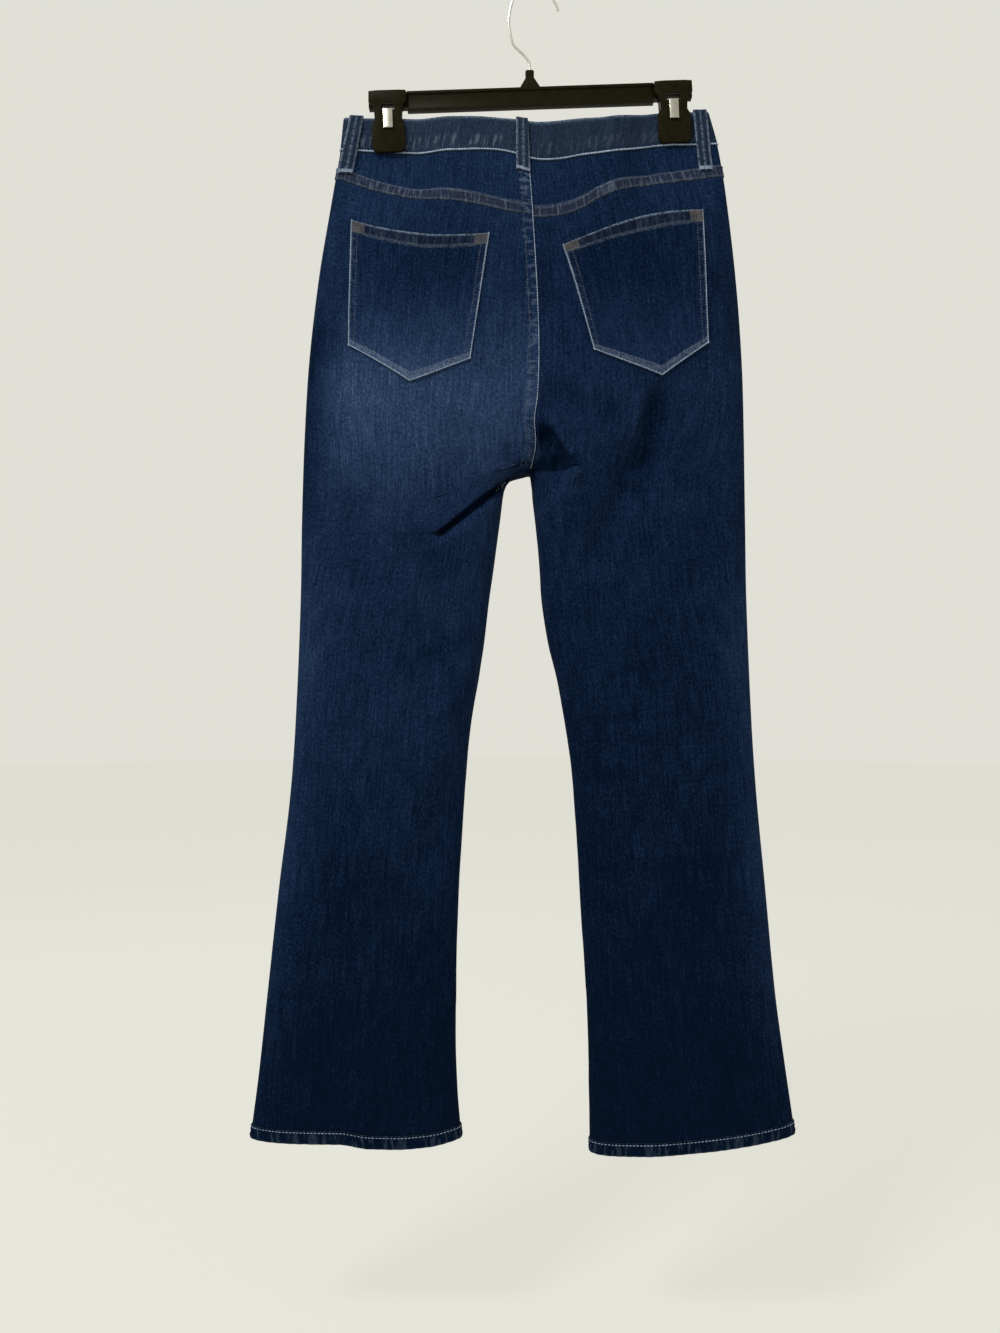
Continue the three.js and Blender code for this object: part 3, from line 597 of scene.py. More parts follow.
def cloth_piece(name, cells, rise, wall, marks, rim="tblr", ring=False, face="seat", grain=None):
    """A wall of cloth on laid-out cells."""
    fall = rounding(cells, rim) if rim else 0
    rise = np.broadcast_to(rise, cells["s"].shape)
    side, s, level = cells["side"], cells["s"], cells["level"]
    place = skin(side, s, level)
    out = facing(side, s, level)
    own = relief(side, s, place, level)
    across = place[..., 0]
    # Painted shade: the cloth is painted darker in crease troughs and most of all in the crotch tucks, and
    # painted lighter on crease ridges as painted highlight.
    crease_light_and_shade = creases(s >= 0, across, level) + (s >= 0) * 1.3 * troughs(SEAT_TUCKS, across, level)
    outer = place + out * (rise + own - 0.8 * fall)[..., None]
    inner = place + out * (own - wall + 0.6 * fall)[..., None]
    u = cells["u"] - cells["width"] / 2
    uv = np.stack([u, cells["v"] if grain is None else grain], axis=-1)
    tone = fade_and_shade_tone(cells, face) - 0.026 * crease_light_and_shade
    marks = {"fade": tone, "rope_u": 0.0, "rope_v": 0.0, "worn": 0.0, **marks}
    return shell(name, outer, inner, uv, marks, ring)


def curved_rows(top, bottom, count):
    """Row functions from a curved top edge down to a level."""
    shares = np.concatenate([[0, 0.004, 0.012], np.linspace(0.03, 1, count)])
    return [lambda s, t=t: mix(top(s), bottom, t) for t in shares]


def level_rows(levels):
    return [lambda s, level=level: np.full(np.shape(s), float(level)) for level in levels]


def stepped(*stretches):
    """Levels from (from, to, step) stretches."""
    parts = [np.arange(a, b, step) for a, b, step in stretches]
    return np.concatenate([*parts, [stretches[-1][1]]])


def with_rim(levels):
    """Ends a list of levels with the rows where the lower edge rounds off."""
    last = levels[-1]
    return np.concatenate([levels[levels < last - 1.4], last - np.array(RIM)[::-1]])


JOINT_LEVEL = 152
SEAM_MARKS = (6, 11, 12.2, 13.4)


def tuck_rows(top, bottom):
    """Rows of the left seat that turn to run along the long tuck, close together beside it."""
    x0, l0, x1, l1 = (SEAT_TUCKS[k][1] for k in ("x0", "l0", "x1", "l1"))
    x = np.linspace(x1 - 3, x0 + 4, 12)
    level = l0 + (x - x0) * (l1 - l0) / (x1 - x0)
    s = column_at("left", "seat", x, level)

    def row(t):
        def at(place):
            tuck = np.interp(place, s, level)
            return mix(top, tuck, t) if t <= 1 else mix(tuck, bottom, t - 1)

        return at

    down = [*np.linspace(0.04, 0.94, 22), 0.965, 0.982, 0.993, 1]
    return [row(t) for t in [*down, *[2 - t for t in down[-2:2:-1]]]]


def back_panel(side):
    bottom = HEM[side] - HEM_BAND - GAP
    rows = curved_rows(lambda s: yoke_level(side, s) + GAP / 2, JOINT_LEVEL, 15)
    if side == "left":
        rows += level_rows(stepped((JOINT_LEVEL + 3.6, 340, 3.6))) + tuck_rows(340, 520)
        rows += level_rows(with_rim(stepped((524, bottom, 4.2))))
    else:
        crotch = stepped((JOINT_LEVEL + 3.6, 330, 3.6), (332, 379, 2.0), (379.6, 385, 0.6))
        rows += level_rows(crotch) + level_rows(with_rim(stepped((387, 462, 2.4), (466, bottom, 4.2))))
    cells = lay_out(side, lambda _: SIDE_SEAM, inseam, rows, 3.5, far=SEAM_MARKS)
    level = cells["level"]
    trunk = 1 - smooth(CROTCH - 24, CROTCH - 2, level)
    from_centre = cells["width"] - cells["u"]
    on_fell = 1 - smooth(FELL, FELL + 1.2, from_centre)
    left = side == "left"
    rise = FELL_RISE * on_fell * trunk if left else 0 * level
    rise = rise + (0.25 * lattice(cells["v"] / 6, cells["u"] / 9, 5) * on_fell * trunk if left else 0)
    side_edge = 1 - smooth(2, 8, cells["u"])
    marks = {
        "rope_v": 0.7 * on_fell * trunk if left else 0.0,
        "worn": np.maximum(0.22 * side_edge, 0.25 * (1 - smooth(2, 9, from_centre)) * (1 - trunk)),
    }
    return cloth_piece(f"back_panel_{side}", cells, rise, DENIM, marks)


def yoke_panel(side):
    top = BAND + GAP / 2

    def line(t):
        return lambda s: mix(top, yoke_level(side, s) - GAP / 2, t)

    shares = np.concatenate([[0, 0.004, 0.014], np.linspace(0.04, 0.97, 34), [0.986, 0.996, 1]])
    rows = [line(t) for t in shares]
    cells = lay_out(side, lambda _: SIDE_SEAM, lambda _: 1.0, rows, 1.9, far=SEAM_MARKS)
    low = cells["length"] - cells["v"]
    fell = 1 - smooth(FELL, FELL + 1.2, low)
    from_centre = cells["width"] - cells["u"]
    centre = (1 - smooth(FELL, FELL + 1.2, from_centre)) * (side == "left")
    rope = 0.32 * lattice(cells["u"] / 3.4 + low / 14, low / 8, 9) * fell * smooth(0, 3, low)
    rise = FELL_RISE * np.maximum(fell, centre) + rope
    edges = 0.55 * bell((low - FELL) / 0.9) + 0.4 * bell((low - 0.6) / 0.9)
    marks = {"rope_u": fell * (1 - centre), "rope_v": centre, "worn": edges * (1 - centre)}
    return cloth_piece(f"yoke_panel_{side}", cells, rise, DENIM, marks)


def front_panel(side):
    bottom = HEM[side] - HEM_BAND - GAP
    rows = curved_rows(scoop_level, JOINT_LEVEL, 24)
    rows += level_rows(with_rim(stepped((157, 330, 5), (333, 470, 3.4), (474, bottom, 5.4))))
    cells = lay_out(
        side, lambda _: SIDE_SEAM, lambda level: -(2 - inseam(level)), rows, 4.2, far=(30, 38, 39, 40)
    )
    from_centre = cells["width"] - cells["u"]
    fly = (1 - smooth(38.6, 39.4, from_centre)) * (1 - smooth(212, 216, cells["level"]))
    fly = fly if side == "left" else 0 * fly
    scoop_edge = (1 - smooth(9, 10.5, cells["v"])) * (np.abs(cells["s"]) < SCOOP_TO)
    side_edge = 1 - smooth(2, 8, cells["u"])
    rise = 1.0 * fly + 0.5 * scoop_edge
    marks = {"worn": np.maximum(0.22 * side_edge, 0.5 * scoop_edge), "rope_v": 0.5 * fly * (from_centre < 8)}
    return cloth_piece(f"front_panel_{side}", cells, rise, DENIM, marks, face="belly")


def facing_panel(side):
    behind = DENIM + 1

    def line(t):
        def level(s):
            reach = mix(-GAP, 14, smooth(0.13, 0.17, np.abs(s)))
            return mix(BAND + GAP / 2, scoop_level(s) + reach, t)

        return level

    rows = [line(t) for t in (0, 0.004, 0.012, *np.linspace(0.04, 0.97, 24), 0.99, 0.997, 1)]
    cells = lay_out(side, lambda _: SIDE_SEAM, lambda _: -0.66, rows, 3.2)
    t = cells["v"] / cells["length"]
    a = np.abs(cells["s"])
    deep = behind * np.maximum(smooth(0, 0.5, t), smooth(0.6, 0.645, a)) * smooth(0.06, 0.12, a)
    return cloth_piece(
        f"facing_panel_{side}", cells, -deep, deep + DENIM, {}, face="belly"
    )


def hem_cells(side, rows):
    """A ring of cells round a hem, one row for each level."""
    s = np.concatenate([np.linspace(0, 1, 110)[:-1], np.linspace(-1, 0, 110)[:-1]])
    level = HEM[side] - HEM_BAND + np.array(rows, float)[:, None] + 0 * s[None, :]
    s = np.broadcast_to(s, level.shape).copy()
    place = skin(side, s, level)
    around = np.linalg.norm(np.diff(place, axis=1), axis=-1)
    u = np.concatenate([np.zeros((len(rows), 1)), np.cumsum(around, axis=1)], axis=1)
    v = np.array(rows, float)[:, None] + 0 * u
    return {
        "s": s, "level": level, "u": u, "width": 0 * u + u[:, -1:], "v": v,
        "length": 0 * v + HEM_BAND, "side": side,
    }


def hem_band(side):
    down = [0, 0.5, 1.4, 2.4, 3.6, 5, 6.5, 8, 9.5, 11, 12.2, 13, 13.6, 14]
    cells = hem_cells(side, down)
    t = cells["v"] / HEM_BAND
    swell = 0.5 + 0.6 * smooth(0, 0.1, t) - 0.9 * smooth(0.9, 1, t) ** 2
    count = 42
    phase = 2 * math.pi * count * cells["u"] / cells["width"] + 1.1 * cells["v"]
    rope = 0.32 * np.sin(phase + 1.7 * lattice(cells["u"] / 30, cells["v"] / 30, 4)) * smooth(0, 0.3, t)
    wall = 1.8 + 0.5 * smooth(0, 0.1, t) - 1.3 * smooth(0.85, 1, t) ** 2
    marks = {"ticks": 0.35, "worn": 0.2 * smooth(0.85, 0.97, t)}
    ring = cloth_piece(f"hem_fold_{side}", cells, swell + rope, wall, marks, rim="", ring=True)
    return ring


def band_rise(level):
    return 0.4 * smooth(0, 3, level) - 0.2 * smooth(31, BAND, level)


def band_cells(pairs):
    """Cells of a waistband along pairs of (side, places), each row at its own level."""
    top, bottom = 0.0, BAND - GAP / 2
    levels = np.concatenate([top + np.array(RIM), np.arange(2.5, bottom - 1.2, BAND_STEP)])
    levels = np.concatenate([levels, bottom - np.array(RIM)[::-1]])
    return levels, [(side, np.asarray(s)[None, :] + 0 * levels[:, None]) for side, s in pairs]


def band_ticks(x, down):
    """Where the band's upright rubbed marks are: low on it, and strongest left of the centre."""
    return smooth(17, 22, down) * (1 - smooth(29, 33, down)) * mix(1, 0.4, smooth(-60, 10, x))


def waist_piece(name, pairs, rim, over=0.0, reach=None, face="seat"):
    levels, parts = band_cells(pairs)
    outer, inner, tone = [], [], []
    for side, s in parts:
        level = levels[:, None] + 0 * s
        place, out = skin(side, s, level), facing(side, s, level)
        extra = over(s) if callable(over) else over
        rise = band_rise(level) + extra + 0.12 * lattice(place[..., 0] / 9, level / 12, 21)
        outer.append(place + out * rise[..., None])
        inner.append(place + out * (extra - BAND_WALL)[..., None] if callable(over)
                     else place - out * BAND_WALL)
        tone.append(read(FADE_AND_SHADE, "level", side, level) + 0.04)
    outer, inner, tone = (np.concatenate(x, axis=1) for x in (outer, inner, tone))
    if reach is not None:
        ends = [reach * t for t in (0.25, 0.5, 0.75, 0.93, 1)]
        outer = np.concatenate([outer] + [outer[:, -1:] + e for e in ends], axis=1)
        inner = np.concatenate([inner] + [inner[:, -1:] + e for e in ends], axis=1)
        tone = np.concatenate([tone] + [tone[:, -1:]] * len(ends), axis=1)
    along = np.linalg.norm(np.diff(outer, axis=1), axis=-1)
    u = np.concatenate([np.zeros((len(levels), 1)), np.cumsum(along, axis=1)], axis=1)
    cells = {"u": u, "width": 0 * u + u[:, -1:], "v": levels[:, None] + 0 * u}
    cells["length"] = 0 * u + levels[-1]
    fall = rounding(cells, rim)[..., None]
    out = unit(outer - inner)
    outer, inner = outer - out * 0.8 * fall, inner + out * 0.6 * fall
    uv = np.stack([u, cells["v"]], axis=-1)
    marks = {
        "fade": tone,
        "rope_u": 0.0,
        "rope_v": 0.0,
        "worn": np.maximum(1 - smooth(0.5, 3.5, cells["v"]), 0),
        "ticks": band_ticks(outer[..., 0], cells["v"]),
    }
    return shell(name, outer, inner, uv, marks)


def waistband_back():
    left = mix(SIDE_SEAM, 1, np.linspace(0, 1, 120) ** 0.95)
    right = left[::-1][1:]
    return waist_piece("band_back", [("left", left), ("right", right)], "tblr")


def waistband_front(side):
    s = -np.linspace(-SIDE_SEAM, 1, 110)
    reach = np.array([14 if side == "left" else -14, 0, 0.4])
    over = (lambda s: (BAND_WALL + 2 * GAP) * smooth(0.75, 0.94, np.abs(s))) if side == "left" else 0.0
    return waist_piece(f"band_front_{side}", [(side, s)], "tblr", over, reach, "belly")


LOOP_WIDTH = 15
LOOPS = {
    # foot: how far the lower end stands off the cloth
    "back_centre": ("left", "seat", -11, -11, 54, 1.25),
    "back_left": ("left", "seat", -189, -201, 63, 1.25),
    "back_right": ("right", "seat", 178.5, 185, 65, 1.25),
    "front_left": ("left", "belly", -80, -80, 54, 0.5),
    "front_right": ("right", "belly", 72, 72, 54, 0.5),
}
LOOP_SHAPE = table(
    "down stand",
    (0, 0.75),
    (0.05, 1.1),
    (0.3, 2.3),
    (0.6, 2.5),
    (0.85, 1.2),
    (0.93, 0.7),
    (1, 0.5),
)


def loop_place(name, t, down, rise):
    """A place on a belt loop; t is from -0.5 to 0.5 across it."""
    side, face, top, low, end, foot = LOOPS[name]
    level = mix(-2, end, down)
    on = np.maximum(0, level)
    s = column_at(side, face, mix(top, low, down) + t * LOOP_WIDTH, on)
    place = skin(side, s, on)
    out = facing(side, np.sign(s) * np.minimum(np.abs(s), 0.98), on)
    place[..., 2] += on - level
    stand = read(LOOP_SHAPE, "down", "stand", down) + (foot - 0.5) * smooth(0.6, 0.9, down)
    return place + out * (stand + rise)[..., None]


def belt_loop(name):
    down = np.concatenate([[0, 0.005, 0.018], np.linspace(0.04, 0.96, 30), [0.982, 0.995, 1]])[:, None]
    t = np.array([-0.5, -0.485, -0.45, -0.4, -0.33, -0.25, -0.16, -0.08, 0])
    t = np.concatenate([t, -t[::-1][1:]])[None, :]
    down, t = np.broadcast_arrays(down, t)
    edge = smooth(0, 0.05, 0.5 - np.abs(t)) * smooth(0, 0.018, down) * smooth(0, 0.018, 1 - down)
    folds = 0.3 * (1 - smooth(0.3, 0.42, np.abs(t))) + 0.18 * bell(t / 0.07)
    foot_end = 0.35 * (1 - smooth(0.06, 0.1, 1 - down)) * smooth(0.02, 0.06, 1 - down)
    outer = loop_place(name, t, down, DENIM * mix(0.45, 1, edge) + folds * edge + foot_end * edge)
    inner = loop_place(name, t, down, 0.25 * (1 - edge))
    uv = np.stack([t * LOOP_WIDTH, down * 58], axis=-1)
    tone = read(FADE_AND_SHADE, "level", LOOPS[name][0], mix(0, 58, down)) - 0.04
    marks = {
        "fade": tone,
        "rope_u": 0.0,
        "rope_v": 0.6 * bell(t / 0.12),
        "worn": np.maximum(1.3 * bell((np.abs(t) - 0.46) / 0.06), 0.7 * bell(t / 0.07)),
    }
    return shell(f"belt_loop_{name}", outer, inner, uv, marks)


POCKETS = {
    "left": {
        "out_top": (-192.5, 117), "in_top": (-46, 134), "sag": 9,
        "in_low": (-66, 268.5), "tip": (-130, 292), "out_low": (-195, 250),
    },
    "right": {
        "out_top": (179.5, 109), "in_top": (30, 145), "sag": -7,
        "in_low": (62, 259), "tip": (134, 284.5), "out_low": (183, 249),
    },
}
POCKET_OFF = 0.5
POCKET_WIDE, POCKET_TALL = 146, 150
POCKET_HEM = 13


def pocket_top(side, t):
    p = POCKETS[side]
    x = mix(p["out_top"][0], p["in_top"][0], t)
    return x, mix(p["out_top"][1], p["in_top"][1], t) + p["sag"] * 4 * t * (1 - t)


def pocket_low(side, t):
    p = POCKETS[side]
    (x0, l0), (x1, l1), (x2, l2) = p["out_low"], p["tip"], p["in_low"]
    middle = (x1 - x0) / (x2 - x0)
    return mix(x0, x2, t), np.interp(t, [0, middle, 1], [l0, l1, l2])


def pocket_place(side, t, r, rise):
    """A place on a seat pocket: t across it, r from its top to its foot."""
    x0, l0 = pocket_top(side, t)
    x1, l1 = pocket_low(side, t)
    x, level = mix(x0, x1, r), mix(l0, l1, r)
    s = column_at(side, "seat", x, level)
    return cloth(side, s, level, rise + POCKET_OFF), level


def pocket_patch(side):
    wide, tall = POCKET_WIDE, POCKET_TALL
    t = places(wide, 2.0, near=(8.6, 9.4), far=(8.6, 9.4)) / wide
    r = places(tall, 2.0, near=(12.4, 13.2), far=(8.6, 9.4)) / tall
    r, t = np.meshgrid(r, t, indexing="ij")
    across = np.minimum(t, 1 - t) * wide
    top, low = r * tall, (1 - r) * tall
    near = np.minimum(np.minimum(across, top), low)
    fall = ROUND * (1 - np.sqrt(1 - np.clip(1 - near / ROUND, 0, 1) ** 2))
    turned = 1 - smooth(8.4, 9.6, np.minimum(across, low))
    band = 1 - smooth(POCKET_HEM - 0.4, POCKET_HEM + 0.6, top)
    rope = 0.3 * lattice(t * wide / 4.2, top / 9, 31) * band
    rise = DENIM + 0.7 * band + 0.3 * turned * (1 - band) + rope - 0.8 * fall
    outer, level = pocket_place(side, t, r, rise)
    inner, _ = pocket_place(side, t, r, 0.5 * fall)
    uv = np.stack([(t - 0.5) * wide, r * tall], axis=-1)
    tone = read(FADE_AND_SHADE, "level", side, level) - 0.1 - 0.12 * band + 0.2 * smooth(0.25, 0.95, r)
    marks = {
        "fade": tone,
        "rope_u": 0.25 * band,
        "ticks": 0.2 * band,
        "rope_v": 0.3 * turned * (1 - band) * (across < low),
        "worn": np.maximum(1.1 * (1 - smooth(0.9, 2.2, near)), 0.55 * turned * (low < 9))
        + 0.5 * bell((top - POCKET_HEM) / 0.9),
    }
    return shell(f"pocket_patch_{side}", outer, inner, uv, marks)


class Number:
    """A socket that can be used in plain arithmetic."""

    def __init__(self, paint, socket):
        self.paint, self.socket = paint, socket

    def _do(self, operation, *values):
        return self.paint.node("ShaderNodeMath", {"operation": operation}, dict(enumerate(values)))

    def __add__(self, other):
        return self._do("ADD", self, other)

    def __mul__(self, other):
        return self._do("MULTIPLY", self, other)

    def __sub__(self, other):
        return self._do("SUBTRACT", self, other)

    def __rsub__(self, other):
        return self._do("SUBTRACT", other, self)

    def __truediv__(self, other):
        return self._do("DIVIDE", self, other)

    def __pow__(self, other):
        return self._do("POWER", self, other)

    def max(self, other):
        return self._do("MAXIMUM", self, other)

    def sine(self):
        return self._do("SINE", self)

    __radd__ = __add__
    __rmul__ = __mul__


class Paint:
    """A procedural material under construction."""

    def __init__(self, name, **settings):
        self.material = bpy.data.materials.new(name)
        self.material.use_nodes = True
        self.tree = self.material.node_tree
        self.shader = self.tree.nodes["Principled BSDF"]
        for socket, value in settings.items():
            self.shader.inputs[socket.replace("_", " ")].default_value = value

    def node(self, kind, settings=None, inputs=None, output=0):
        made_node = self.tree.nodes.new(kind)
        for key, value in (settings or {}).items():
            if key == "stops":
                self.stops(made_node.color_ramp, value)
            else:
                setattr(made_node, key, value)
        for key, value in (inputs or {}).items():
            if isinstance(value, Number):
                self.tree.links.new(value.socket, made_node.inputs[key])
            else:
                made_node.inputs[key].default_value = value
        return Number(self, made_node.outputs[output])

    @staticmethod
    def stops(ramp, stops):
        while len(ramp.elements) < len(stops):
            ramp.elements.new(0.5)
        for element, (at, colour) in zip(ramp.elements, stops):
            element.position = at
            element.color = (*colour, 1)

    def mark(self, name):
        return self.node("ShaderNodeAttribute", {"attribute_name": name}, output="Fac")

    def flat(self):
        """The piece's own UV map, in millimetres."""
        uv = self.node("ShaderNodeTexCoord", output="UV")
        return self.scaled(uv, (1000, 1000, 1000))

    def scaled(self, vector, by):
        return self.node("ShaderNodeVectorMath", {"operation": "MULTIPLY"}, {0: vector, 1: by})

    def noise(self, vector, by, detail=2.0, rough=0.5):
        at = self.scaled(vector, by)
        inputs = {"Vector": at, "Scale": 1.0, "Detail": detail, "Roughness": rough}
        return self.node("ShaderNodeTexNoise", {}, inputs)

    def band(self, value, low, high):
        inputs = {"Value": value, "From Min": low, "From Max": high}
        return self.node("ShaderNodeMapRange", {"interpolation_type": "SMOOTHSTEP"}, inputs)

    def ramp(self, value, stops):
        return self.node("ShaderNodeValToRGB", {"stops": stops}, {"Fac": value})

    def blend(self, factor, a, b):
        node = self.tree.nodes.new("ShaderNodeMix")
        node.data_type = "RGBA"
        for key, value in ((0, factor), (6, a), (7, b)):
            if isinstance(value, Number):
                self.tree.links.new(value.socket, node.inputs[key])
            else:
                node.inputs[key].default_value = value if key == 0 else (*value, 1)
        return Number(self, node.outputs[2])

    def bump(self, height, distance, strength=1.0):
        inputs = {"Height": height, "Distance": distance, "Strength": strength}
        return self.node("ShaderNodeBump", {}, inputs)

    def feed(self, **sockets):
        for socket, value in sockets.items():
            self.tree.links.new(value.socket, self.shader.inputs[socket.replace("_", " ")])
        return self.material


INDIGO = (
    (0.0, (0.0010, 0.0048, 0.0155)),
    (0.2, (0.0032, 0.0100, 0.0300)),
    (0.4, (0.0068, 0.0172, 0.0465)),
    (0.6, (0.0140, 0.0290, 0.0700)),
    (0.8, (0.0240, 0.0460, 0.1000)),
    (1.0, (0.0520, 0.0850, 0.1500)),
)
SLATE = (
    (0.0, (0.0045, 0.0095, 0.0210)),
    (0.2, (0.0085, 0.0155, 0.0320)),
    (0.4, (0.0135, 0.0225, 0.0430)),
    (0.6, (0.0220, 0.0340, 0.0600)),
    (1.0, (0.0650, 0.0920, 0.1300)),
)
WORN = (0.20, 0.26, 0.35)
SEAMED = (0.022, 0.023, 0.036)
INSIDE = (0.115, 0.145, 0.19)


def denim(name, shades):
    p = Paint(name, Specular_IOR_Level=0.02)
    flat = p.flat()
    parts = p.tree.nodes.new("ShaderNodeSeparateXYZ")
    p.tree.links.new(flat.socket, parts.inputs[0])
    u, v = Number(p, parts.outputs[0]), Number(p, parts.outputs[1])
    streak = p.noise(flat, (0.45, 0.022, 1), 2.0, 0.6)
    slub = p.band(p.noise(flat, (0.7, 0.08, 1), 2.0, 0.5), 0.58, 0.75)
    grain = p.noise(flat, (0.42, 0.3, 1), 3.0, 0.75)
    cloud = p.noise(flat, (0.016, 0.011, 1), 3.0, 0.55)
    blotch = p.noise(flat, (0.09, 0.05, 1), 3.0, 0.6)
    # The tone starts from the fading and painted shade that each piece carries in its mark.
    tone = (
        p.mark("fade")
        + (streak - 0.5) * 0.6
        + slub * 0.16
        + (grain - 0.5) * 1.3
        + (cloud - 0.5) * 0.3
        + (blotch - 0.5) * 0.34
    )
    colour = p.ramp(tone, shades)
    tick_u = p.band(p.noise(flat, (0.34, 0.04, 1), 2.5, 0.6), 0.5, 0.64)
    tick_v = p.band(p.noise(flat, (0.09, 0.2, 1), 2.5, 0.6), 0.48, 0.64)
    ticked = p.mark("rope_u") * tick_u + p.mark("rope_v") * tick_v
    worn = p.mark("worn") * p.band(p.noise(flat, (0.4, 0.4, 1), 3.0, 0.6), 0.32, 0.6)
    upright = p.band(p.noise(flat, (0.2, 0.03, 1), 2.0, 0.55), 0.5, 0.64)
    marked = ticked * 0.2 + p.mark("ticks") * upright * 0.22 + worn * 0.5
    colour = p.blend(p.mark("rope_u") * 0.5, colour, SEAMED)
    colour = p.blend(marked * (0.2 + grain * 1.5), colour, WORN)
    within = p.blend(p.mark("inside") * (0.72 + (grain - 0.5) * 0.9), colour, INSIDE)
    twill = (u * 6.9 + v * 5.2).sine()
    height = twill * 0.05 + grain * 0.2 + streak * 0.12 + slub * 0.08
    rough = 0.82 + grain * 0.12
    return p.feed(Base_Color=within, Roughness=rough, Normal=p.bump(height, 0.0012, 0.8))


def thread(name, colour, dark):
    p = Paint(name, Roughness=0.75, Specular_IOR_Level=0.2)
    place = p.node("ShaderNodeTexCoord", output="Object")
    fibre = p.noise(place, (900, 900, 900), 3.0, 0.6)
    patch = p.noise(place, (60, 60, 60), 2.0, 0.5)
    shade = p.blend(p.band(fibre * 0.6 + patch * 0.6, 0.42, 0.78), dark, colour)
    return p.feed(Base_Color=shade, Normal=p.bump(fibre, 0.0004, 0.5))


def plastic(name):
    p = Paint(name, Specular_IOR_Level=0.03)
    place = p.node("ShaderNodeTexCoord", output="Object")
    mottle = p.noise(place, (140, 140, 140), 3.0, 0.6)
    scuff = p.band(p.noise(place, (900, 90, 320), 4.0, 0.65), 0.55, 0.8)
    colour = p.blend(mottle, (0.0050, 0.0040, 0.0012), (0.0120, 0.0100, 0.0042))
    colour = p.blend(scuff * 0.3, colour, (0.022, 0.019, 0.012))
    rough = 0.3 + mottle * 0.14 + scuff * 0.25
    return p.feed(Base_Color=colour, Roughness=rough, Normal=p.bump(mottle, 0.0003, 0.25))


def metal(name, bright, dull, low, high):
    p = Paint(name, Metallic=1.0)
    place = p.node("ShaderNodeTexCoord", output="Object")
    brushed = p.noise(place, (1600, 160, 420), 3.0, 0.55)
    stain = p.noise(place, (110, 110, 110), 3.0, 0.6)
    colour = p.blend(stain, dull, bright)
    rough = low + brushed * (high - low)
    return p.feed(Base_Color=colour, Roughness=rough, Normal=p.bump(brushed, 0.0002, 0.2))


def finish(thing, material, slot, *nodes):
    thing.data.materials.clear()
    thing.data.materials.append(material)
    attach(thing, "root")
    if nodes:
        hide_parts(*nodes)
    return thing


# Sewing: threads are rows of short stitches that follow lines on the cloth.
STITCH_SEED = 7


def stitch_tree():
    """Nodes that lay stitches along the edges of a mesh."""
    tree = bpy.data.node_groups.new("stitches", "GeometryNodeTree")
    face = tree.interface
    face.new_socket("Geometry", in_out="INPUT", socket_type="NodeSocketGeometry")
    for socket in ("Spacing", "Length", "Thickness"):
        face.new_socket(socket, in_out="INPUT", socket_type="NodeSocketFloat")
    face.new_socket("Material", in_out="INPUT", socket_type="NodeSocketMaterial")
    face.new_socket("Geometry", in_out="OUTPUT", socket_type="NodeSocketGeometry")

    def node(kind, **settings):
        new = tree.nodes.new(kind)
        for key, value in settings.items():
            setattr(new, key, value)
        return new

    def link(a, b):
        tree.links.new(a, b)

    source, sink = node("NodeGroupInput"), node("NodeGroupOutput")
    curve = node("GeometryNodeMeshToCurve")
    points = node("GeometryNodeCurveToPoints", mode="LENGTH")
    ball = node("GeometryNodeMeshUVSphere")
    ball.inputs["Segments"].default_value = 6
    ball.inputs["Rings"].default_value = 4
    ball.inputs["Radius"].default_value = 1.0
    turn = node("FunctionNodeAlignRotationToVector", axis="Z")
    lay = node("GeometryNodeInstanceOnPoints")
    halves = [node("ShaderNodeMath", operation="MULTIPLY") for _ in range(2)]
    for half in halves:
        half.inputs[1].default_value = 0.5
    size = node("ShaderNodeCombineXYZ")
    wobble = node("FunctionNodeRandomValue", data_type="FLOAT")
    wobble.inputs["Min"].default_value = 0.88
    wobble.inputs["Max"].default_value = 1.1
    wobble.inputs["Seed"].default_value = STITCH_SEED
    grown = node("ShaderNodeVectorMath", operation="SCALE")
    real = node("GeometryNodeRealizeInstances")
    smooth_face = node("GeometryNodeSetShadeSmooth")
    paint = node("GeometryNodeSetMaterial")
    link(source.outputs["Geometry"], curve.inputs["Mesh"])
    link(curve.outputs["Curve"], points.inputs["Curve"])
    link(source.outputs["Spacing"], points.inputs["Length"])
    link(points.outputs["Points"], lay.inputs["Points"])
    link(points.outputs["Tangent"], turn.inputs["Vector"])
    link(turn.outputs["Rotation"], lay.inputs["Rotation"])
    link(ball.outputs["Mesh"], lay.inputs["Instance"])
    link(source.outputs["Thickness"], halves[0].inputs[0])
    link(source.outputs["Length"], halves[1].inputs[0])
    link(halves[0].outputs[0], size.inputs["X"])
    link(halves[0].outputs[0], size.inputs["Y"])
    link(halves[1].outputs[0], size.inputs["Z"])
    link(size.outputs[0], grown.inputs[0])
    link(wobble.outputs["Value"], grown.inputs["Scale"])
    link(grown.outputs[0], lay.inputs["Scale"])
    link(lay.outputs["Instances"], real.inputs["Geometry"])
    link(real.outputs["Geometry"], smooth_face.inputs["Geometry"])
    link(smooth_face.outputs["Geometry"], paint.inputs["Geometry"])
    link(source.outputs["Material"], paint.inputs["Material"])
    link(paint.outputs["Geometry"], sink.inputs["Geometry"])
    return tree


